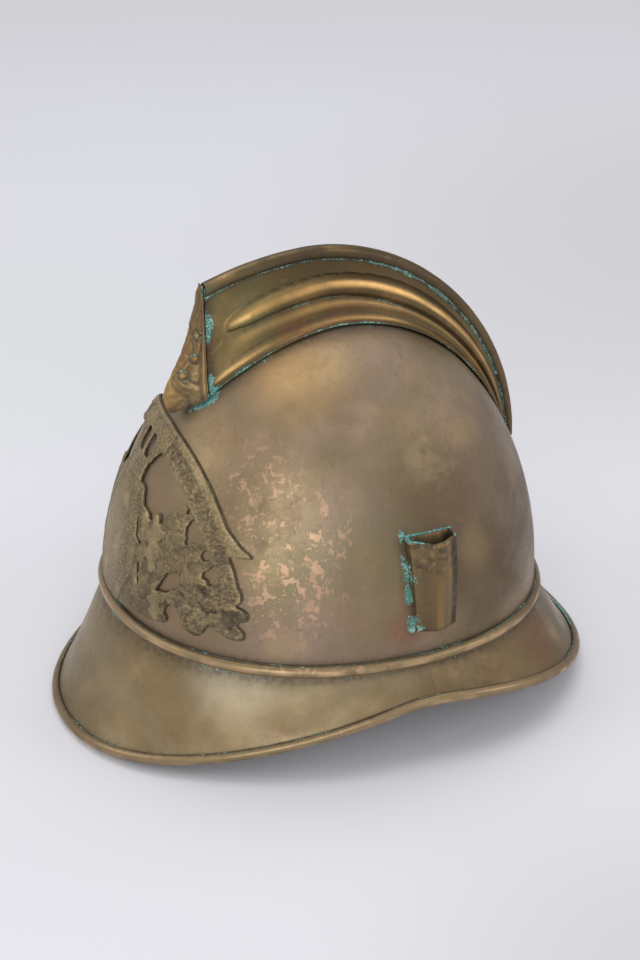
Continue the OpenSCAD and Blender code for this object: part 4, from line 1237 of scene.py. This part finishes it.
def evened(points, step, closed):
    """Points a step apart along a line, its ends kept."""
    points = looped(points) if closed else points
    line = respaced(points, max(6, int(walked(points)[-1] / step)))
    return line[:-1] if closed else line


def badge_border():
    """The right half of the badge's edge, from its top to its foot on the middle line."""
    xs = np.linspace(0, 62, 40)
    top = np.stack([xs, scroll_edge(xs)], -1)
    side = softened(
        [
            (62, scroll_edge(62)), (66.5, 68), (69.5, 64.5), (72.7, 61.6), (72.8, 60.2), (66.8, 61.1),
            (68.5, 58), (70.2, 55), (71.8, 51), (73, 47.6), (74.9, 44), (75.5, 40), (74.3, 38),
            (76.6, 36.6), (78.2, 34), (78.2, 31.2), (76, 30), (76.6, 27.4), (78.6, 25), (78.6, 21.8),
            (77.2, 21), (74.8, 22), (72.9, 24.5), (71, 25.2), (69.4, 27.6), (68, 25.6), (66.7, 22),
            (65, 19.7), (61.5, 21), (59.6, 24), (58, 29), (55.6, 32), (52.6, 31.6), (50.6, 29.4),
            (49.4, 26.6), (51.2, 24.2), (51.8, 22.4), (50, 20.4), (46.4, 20.8), (44, 18.8), (33, 18),
            (22, 15.4), (0, BADGE_FOOT),
        ],
        False,
    )
    return np.concatenate([top, side[1:]])


def badge_holes():
    xs = np.linspace(15.6, 45, 12)
    upper = np.stack([xs, scroll_edge(xs) - scroll_w(xs)], -1).tolist()
    return [
        upper + [
            (44.3, 77), (41.6, 74.6), (38.4, 71.6), (37.2, 66.4), (35.4, 65), (34.4, 69.2), (31.6, 69),
            (30.4, 64.4), (28.8, 64), (27.2, 66.8), (23.6, 67.2), (20.2, 68.2), (18, 71.4),
            (15.9, 74.9), (10.8, 74.6), (10.2, 77.8), (9.7, 82.1), (12.4, 87),
        ],
        [
            (50.4, 73.6), (49, 72.4), (49.6, 69.2), (48.8, 67), (50.5, 63.8), (51, 61), (54, 62.6),
            (56.4, 64), (56, 68),
        ],
        [(46.2, 77.2), (45.2, 74.8), (46.8, 73.7), (48.4, 74.8)],
        [(60.2, 62.2), (58.3, 60.1), (58.4, 57.6), (61.1, 56.1), (62.7, 57), (62, 61)],
        [(65, 56.3), (63.3, 53), (61.4, 50), (62.2, 48.4), (64.2, 48), (65.2, 45.2), (66.6, 46), (67.6, 52)],
        [(47, 45.5), (45.5, 38), (43, 35), (49.5, 36), (55, 40.5), (56, 46.5), (52, 47.5)],
        [
            (19.6, 63.4), (21, 62.4), (22.8, 57.4), (25.8, 54), (29.4, 52.2), (29, 51), (24.4, 52),
            (21.2, 56.4),
        ],
        [(29.2, 46.4), (30.4, 46.2), (31, 40), (33.4, 33.8), (31.9, 33.2), (29.3, 39.6)],
        [(1.1, 84.4), (0.9, 93.2), (2.6, 95), (7.4, 94.4), (8.2, 92.6), (7.8, 85.4), (6, 84.2)],
    ]


def inside(points, polygon):
    """Whether each point lies in a polygon."""
    x, y = points[:, 0], points[:, 1]
    result = np.zeros(len(points), bool)
    for (ax, ay), (bx, by) in zip(polygon, np.roll(polygon, -1, 0)):
        if ay != by:
            crosses = (ay > y) != (by > y)
            result ^= crosses & (x < (bx - ax) * (y - ay) / (by - ay) + ax)
    return result


def line_gap(points, line, closed=False):
    """Distance from points to a line of points."""
    a = np.asarray(line, float)
    b = np.roll(a, -1, 0) if closed else a[1:]
    a = a if closed else a[:-1]
    best = np.full(len(points), 1e9)
    for start, stop in zip(a, b):
        d = stop - start
        t = np.clip(((points - start) @ d) / max(d @ d, 1e-9), 0, 1)
        best = np.minimum(best, np.linalg.norm(points - start - t[:, None] * d, axis=1))
    return best


def flat_spots(points):
    return np.concatenate([points, np.zeros((len(points), 1))], 1)


# Leaves of the sprig: stem point, tip, half width and height
LEAVES = [
    ((40, 43), (34, 69.6), 6.0, 0.85),
    ((44, 45), (47, 72), 6.4, 0.2),
    ((33, 42), (26.5, 68), 5.4, 0.55),
    ((38, 40), (30, 26), 6.2, 0.4),
    ((46, 44), (58, 60), 5.4, 0.45),
    ((48, 42), (69, 50), 5.0, 0.6),
    ((44, 40), (47, 20.5), 5.2, 0.65),
    ((48, 39), (66, 21.5), 5.6, 0.7),
    ((50, 40), (78, 23), 6.4, 0.85),
    ((52, 42), (77, 37), 4.8, 0.75),
]

# Right edge of the shield, as heights and distances from the middle
SHIELD_Z = [14, 18, 22, 30, 36, 47, 51, 62, 68, 74, 75]
SHIELD_X = [14, 17.5, 19.8, 24, 27, 27.5, 25.5, 20, 16.5, 14.5, 12]


def badge_relief(p):
    """Height of the badge's face over its plain sheet, how deep in a crease it is and how rough; the crease
    value also paints shade along one side of each leaf.
    """
    x, z = p[:, 0], p[:, 1]
    spots = flat_spots(p)
    s = (scroll_edge(x) - z) / scroll_w(x)
    in_scroll = (s < 1.02) & (x < 71) & (z > 57)
    in_fold = (x > 62) & (z > 36) & ~in_scroll & (x > 62 + 0.25 * (60 - z))

    # Ribbon: wide upper border, stippled ground, thin lower border, pebbled middle with a fold
    ground = bump(s, 0.54, 0.3) ** 0.5
    h = np.where(in_scroll, 0.95 - 0.6 * (ground > 0) * fade(0.0, 0.5, ground), 0.0)
    crease = np.where(in_scroll, 0.7 * np.maximum(bump(s, 0.25, 0.06), bump(s, 0.84, 0.05)), 0.0)
    stipple = np.where(in_scroll & (ground > 0), 0.5, 0.0)
    middle = in_scroll & (x < 20.5)
    grain = fade(-0.15, 0.2, roughen(spots, 2.1, 55))
    h = h + np.where(in_scroll & (ground > 0), 0.5 * grain, 0)
    crease = crease + np.where(in_scroll & (ground > 0.3), 0.55 * (1 - grain), 0)
    pebbled = 0.6 + 0.5 * np.sqrt(arch((s - 0.5) / 0.55)) + 0.35 * fall(0.0, 0.14, s)
    h = np.where(middle, pebbled - 0.8 * fade(18.5, 20.5, x), h)
    crease = np.where(middle, 0.75 * bump(x, 20, 1.2) + 0.4 * bump(s, 0.13, 0.06), crease)
    stipple[middle] = 0.55
    h[in_fold] = 0.75
    stipple[in_fold] = 0.7

    # Crown: plain courses of wall with narrow raised bands
    crown = ~in_scroll & (z > 74.5) & (x < 14)
    bands = np.maximum(bump(z, 81.8 - 0.02 * x * x, 0.8), bump(z, 76.4, 0.8))
    h = np.where(crown, 0.55 + 0.45 * bands + 0.2 * (z < 81.5), h)
    crease = np.where(crown, 0.45 * np.maximum(bump(z, 80.6, 0.7), bump(z, 75.2, 0.7)), crease)

    # Shield: plain border, a fine ridge, and a plain swelling field
    rim = np.interp(z, SHIELD_Z, SHIELD_X) - x
    in_shield = (rim > 0) & (z < 74.5)
    field = 0.35 + arch(x / 24) * arch((z - 44) / 36)
    h = np.where(in_shield, between(0.8, field, fade(5.6, 6.6, rim)) + 0.35 * bump(rim, 5.4, 0.7), h)
    h = h + np.where(in_shield, 0.3 * bump(74.5 - z, 1.2, 1.4), 0)
    crease = np.where(in_shield, 0.5 * np.maximum(bump(rim, 6.6, 0.9), bump(rim, 0.3, 0.8)), crease)

    # Sprig: overlapping lobed leaves
    leafy = ~in_scroll & ~in_shield & ~crown & ~in_fold
    best, veins, lines = np.zeros((3, len(x)))
    wobble = roughen(spots, 2.6, 51)
    for number, (stem, tip, half, height) in enumerate(LEAVES):
        a, b = np.array(stem, float), np.array(tip, float)
        run = b - a
        length = np.linalg.norm(run)
        run = run / length
        t = ((p - a) @ run) / length
        off = (p - a) @ np.array([-run[1], run[0]])
        lobes = 0.74 + 0.3 * np.cos(2 * np.pi * (3.1 * t + 0.1 * number + 0.06 * np.sign(off)))
        w = half * np.clip(np.sin(np.pi * np.clip(t, 0.02, 0.98)), 0, 1) ** 0.55 * lobes + 0.4 * wobble
        side = np.abs(off) / np.maximum(w, 0.2)
        inside_leaf = (side < 1) & (t > 0) & (t < 1)
        rise = np.where(inside_leaf, height + 0.45 * np.sqrt(arch(side)), 0)
        branch = bump(np.abs(off) - 5.5 * ((3.1 * t) % 1.0), 0, 0.5)
        vein = np.maximum(bump(off, 0, 0.6), 0.5 * branch) * inside_leaf
        veins = np.where(rise > best, vein, veins)
        # Dark contour lines along one side of each leaf only: a shallow groove and painted shade
        outward = np.sign(off) * -run[1]
        contour = bump(side, 1.06, 0.24) * (t > -0.05) * (t < 1.05) * (outward > 0) * (best < height)
        lines = np.where(inside_leaf & (rise > best), 0, np.maximum(lines, contour))
        best = np.maximum(best, rise)
    h = np.where(leafy, np.where(best > 0, best + 0.16 * veins, 0.25) - 0.35 * lines, h)
    gap = fall(0.0, 0.35, best)
    crease = np.where(leafy, np.maximum(0.4 * gap, 0.95 * lines), crease)
    wild = leafy * fade(44, 58, x) * fall(40, 50, z)
    h = h + wild * (0.45 * roughen(spots, 1.7, 52) + 0.2)
    crease = crease + wild * (0.35 + 0.55 * fade(-0.1, 0.3, -roughen(spots, 1.3, 53)))
    stipple = np.maximum(stipple, 0.6 * wild)
    return h, crease, stipple


def ragged(line, amount, seed):
    """Moves the points of a leafy edge in and out, and leaves the ribbon's edge alone."""
    free = scroll_edge(line[:, 0]) - line[:, 1] - scroll_w(line[:, 0])
    free = fade(0.5, 2.5, free) * (line[:, 0] > 9)
    spots = flat_spots(line)
    shift = np.stack([roughen(spots, 2.3, seed), roughen(spots, 2.3, seed + 1)], -1)
    return line + amount * shift * free[:, None]


# The dome is found by halving a distance from its middle
FARTHEST = 140.0
HALVINGS = 34


def badge_onto_dome(x, z, off):
    """Points of the dome, moved out by off, behind places of the badge's flat drawing."""
    c, s = math.cos(BADGE_TURN), math.sin(BADGE_TURN)
    height = BASE_H + z

    def over(t):
        px, py = x * c - t * s, -x * s - t * c
        up = np.clip((height - base_z(py)) / (DOME_H + off), 0, 1)
        wide = (1 - up**RISE_FULLNESS) ** (1 / RISE_FULLNESS)
        along = py - DOME_Y - DOME_LEAN * up
        return plan_reach(px, along, off) - wide

    low = np.zeros(x.shape)
    high = np.full(x.shape, FARTHEST)
    for _ in range(HALVINGS):
        t = (low + high) / 2
        out = over(t) > 0
        high = np.where(out, t, high)
        low = np.where(out, low, t)
    t = (low + high) / 2
    return np.stack([x * c - t * s, -x * s - t * c, height], -1)


def badge_plan(step):
    """Flat points and faces of the badge's right half, and the lines round it and its holes."""
    border = ragged(evened(badge_border(), step, False), 0.35, 61)
    down = np.arange(border[-1, 1] + step, border[0, 1] - step / 2, step)
    middle = np.stack([np.zeros(len(down)), down], -1)
    outline = np.concatenate([border, middle])
    holes = [evened(softened(hole, True), step, True) for hole in badge_holes()]
    holes = [ragged(hole, 0.7, 63 + 2 * i) for i, hole in enumerate(holes)]

    def in_plate(points):
        return inside(points, outline) & ~np.any([inside(points, hole) for hole in holes], 0)

    xs, zs = grid(np.arange(step, 82, step), np.arange(12, 108, step * 0.87))
    xs = xs + (np.arange(xs.shape[1]) % 2)[None, :] * step / 2
    field = np.stack([xs.ravel(), zs.ravel()], -1)
    field = field[in_plate(field)]
    rims = [outline, *holes]
    edge = np.min([line_gap(field, rim, True) for rim in rims], 0)
    field = field[edge > step * 0.6]
    points = np.concatenate([*rims, field])
    edges = []
    start = 0
    for rim in rims:
        edges += [(start + i, start + (i + 1) % len(rim)) for i in range(len(rim))]
        start += len(rim)
    flat, _, faces, _, _, _ = delaunay_2d_cdt([Vector(p) for p in points], edges, [], 0, 1e-6)
    flat = np.array([(v.x, v.y) for v in flat])
    faces = np.array([list(face) for face in faces])
    return flat, faces[in_plate(flat[faces].mean(1))], border, holes


def badge_plate():
    flat, faces, border, holes = badge_plan(BADGE_STEP)
    faces = np.concatenate([faces, faces[:, ::-1] + len(flat)])
    flat = np.concatenate([flat, flat * [-1, 1]])
    folded = np.abs(flat)
    edge = np.min([line_gap(folded, border), *[line_gap(folded, hole, True) for hole in holes]], 0)
    h, crease, stipple = badge_relief(folded)
    spots = flat_spots(flat)
    pebbles = roughen(spots, 1.05, 42) + 0.6 * roughen(spots, 0.7, 47)
    h = h + 0.14 * roughen(spots, 3.2, 41) + (0.06 + 0.5 * stipple) * pebbles
    crease = crease + stipple * 0.8 * fade(-0.1, 0.4, -pebbles)
    h = (0.75 + h) * (0.45 + 0.55 * np.sqrt(np.clip(edge / 0.6, 0, 1))) * 0.85
    top, skin, deep = [badge_onto_dome(*flat.T, off) for off in (BADGE_SEAT + 0.35, BADGE_SEAT, -3.0)]
    out = unit(top - deep)
    top = top + out * h[:, None]

    sides = {}
    for face in faces:
        for a, b in zip(face, np.roll(face, -1)):
            key = (min(a, b), max(a, b))
            sides[key] = None if key in sides else (a, b)
    total = len(flat)
    on_middle = np.abs(flat[:, 0]) < 1e-6
    walls = []
    for pair in sides.values():
        if pair is not None and not on_middle[list(pair)].all():
            a, b = pair
            for high, low in ((0, 2 * total), (2 * total, total)):
                walls.append([a + high, b + high, b + low, a + low])
    wall_points = top + 0.06 * (skin - top)
    everything = faces.tolist() + (faces[:, ::-1] + total).tolist() + walls
    grime = 0.8 * crease + 0.2 * fade(20, 40, folded[:, 0]) * fall(58, 70, folded[:, 1])
    worn = 0.4 * fade(1.2, 1.9, h) + 0.3 * fade(0.1, 0.6, roughen(spots, 9, 43)) + 0.4 * bell(edge, 0.45)
    worn = worn + 0.25 * stipple * fade(0.1, 0.5, pebbles)
    green = 0.5 * np.clip(crease, 0, 1) * fade(0.1, 0.5, roughen(spots, 12, 44))
    bare = np.zeros(2 * total)
    # The plate's back and side walls get full dirt: painted shade along its edges, where it stands off the
    # dome
    marks = {
        "grime": np.concatenate([grime, bare + 1.4]),
        "worn": np.concatenate([worn, bare]),
        "verdigris": np.concatenate([green, bare]),
    }
    points = np.concatenate([top, skin, wall_points])
    finish_mesh("badge_plate", points, everything, badge_brass, marks, ["badge"], sharp=50)


# Small fittings kept as they are in the frame

KEPT = [
    "comb_tabs", "badge_pins", "visor_edge_wire", "guard_edge_wire", "liner_clips", "left_ring_bracket",
    "right_ring_bracket", "bracket_rivets", "left_strap_ring", "right_strap_ring",
]

FRONT_SPAN = (SEAM_HALF - SEAM_ANGLE, SEAM_ANGLE - SEAM_HALF)
REAR_SPAN = (SEAM_ANGLE + SEAM_HALF, 360 - SEAM_ANGLE - SEAM_HALF)

dome_sheet()
brim_part("visor_sheet", "visor", *FRONT_SPAN, 250)
brim_part("neck_guard_sheet", "neck_guard", *REAR_SPAN, 220)
bead_ring()
binding_part("visor_binding_roll", "visor_binding", *FRONT_SPAN, 320)
binding_part("guard_binding_roll", "guard_binding", *REAR_SPAN, 280)
flank_part("comb_left_flank_sheet", "comb_left_flank", 1)
flank_part("comb_right_flank_sheet", "comb_right_flank", -1)
crest_roll()
mask_part()
socket_part()
sweatband()
for number in range(TONGUES):
    tongue_part(number)
lace_part()
badge_plate()
for node in KEPT:
    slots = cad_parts[node].data.materials
    slots.clear()
    slots.append(wire_iron if node.endswith("wire") else fitting_brass)

# Camera, light and floor

scene = bpy.context.scene
CAMERA_AT = (0.7798, -0.3699, 0.5710)
AZIMUTH, ELEVATION, ROLL = math.radians(64.49), math.radians(28.47), math.radians(0.15)
LENS = 112.5
BACKDROP = tone(208, 207, 209)
SKY = tone(199, 203, 212)
SKY_STRENGTH = 0.86

camera = bpy.data.objects.new("camera", bpy.data.cameras.new("camera"))
scene.collection.objects.link(camera)
camera.data.lens = LENS
camera.data.sensor_width = 36.0
camera.data.sensor_fit = "HORIZONTAL"
camera.data.clip_start = 0.01
level = math.cos(ELEVATION)
back = Vector((math.sin(AZIMUTH) * level, -math.cos(AZIMUTH) * level, math.sin(ELEVATION)))
right = Vector((math.cos(AZIMUTH), math.sin(AZIMUTH), 0))
turn = Matrix.Rotation(ROLL, 3, back)
axes = Matrix((turn @ right, turn @ back.cross(right), back)).transposed()
camera.matrix_world = Matrix.Translation(CAMERA_AT) @ axes.to_4x4()
scene.camera = camera

# Square lamps: place in metres, side and watts
LAMPS = {
    "key": ((1.55, -0.8, 0.62), 1.1, 11.5),
    "left": ((-0.3, -1.7, 1.2), 1.2, 8),
    "overhead": ((-0.4, 0.2, 1.9), 1.6, 14),
    "fill": ((1.2, 1.5, 0.9), 1.0, 7),
}
for name, (place, side, power) in LAMPS.items():
    light = bpy.data.lights.new(name, "AREA")
    light.size = side
    light.energy = power
    lamp = bpy.data.objects.new(name, light)
    scene.collection.objects.link(lamp)
    lamp.location = place
    lamp.rotation_euler = (Vector((0, 0, 0.1)) - Vector(place)).to_track_quat("-Z", "Y").to_euler()

# The camera and the metal see the backdrop, and the sky lights the rest
world = bpy.data.worlds.new("studio")
scene.world = world
world.use_nodes = True
sky = world.node_tree
rays = sky.nodes.new("ShaderNodeLightPath").outputs
seen = sky.nodes.new("ShaderNodeBackground")
seen.inputs["Color"].default_value = BACKDROP
lit = sky.nodes["Background"]
lit.inputs["Color"].default_value = SKY
lit.inputs["Strength"].default_value = SKY_STRENGTH
shown = sky.nodes.new("ShaderNodeMath")
shown.operation = "MAXIMUM"
choice = sky.nodes.new("ShaderNodeMixShader")
for out, into in (
    (rays["Is Camera Ray"], shown.inputs[0]),
    (rays["Is Glossy Ray"], shown.inputs[1]),
    (shown.outputs[0], choice.inputs[0]),
    (lit.outputs[0], choice.inputs[1]),
    (seen.outputs[0], choice.inputs[2]),
    (choice.outputs[0], sky.nodes["World Output"].inputs["Surface"]),
):
    sky.links.new(out, into)

# Pale floor that fades into the backdrop, with patches of painted shade as (centre mm, radius mm, colour)
FLOOR_HALF = 30.0
FLOOR_FADE = 2300.0
FLOOR_PAINTED_SHADE = [
    ((-320, 550, 0), 550, tone(211, 209, 206)),
    ((-450, -40, 0), 300, tone(221, 221, 220)),
    ((310, 40, 0), 200, tone(209, 207, 208)),
]
floor_mesh = bpy.data.meshes.new("floor")
floor_shape = bmesh.new()
bmesh.ops.create_grid(floor_shape, x_segments=2, y_segments=2, size=FLOOR_HALF)
floor_shape.to_mesh(floor_mesh)
floor_shape.free()
floor = bpy.data.objects.new("floor", floor_mesh)
scene.collection.objects.link(floor)
f = Finish("floor_paper")
f.colour = f.mix(f.noise(3.0, 2.0), tone(229, 227, 229), tone(224, 222, 224))
for centre, radius, shade in FLOOR_PAINTED_SHADE:
    f.coat(f.blob(centre, radius, 0.9), shade)
f.surface(Base_Color=f.colour, Roughness=0.9, Specular_IOR_Level=0.1)
rays = f.add("ShaderNodeLightPath").outputs
far = f.math("SUBTRACT", 1.0, f.blob((0, 0, 0), FLOOR_FADE, 0.75))
faded = f.add("ShaderNodeMixShader")
f.feed(faded.inputs[0], f.times(far, f.math("MAXIMUM", rays["Is Camera Ray"], rays["Is Glossy Ray"])))
f.feed(faded.inputs[1], f.shader.outputs[0])
f.feed(faded.inputs[2], f.add("ShaderNodeEmission", Color=BACKDROP, Strength=1.0).outputs[0])
f.feed(f.tree.nodes["Material Output"].inputs["Surface"], faded.outputs[0])
floor_mesh.materials.append(f.material)

scene.view_settings.view_transform = "Standard"
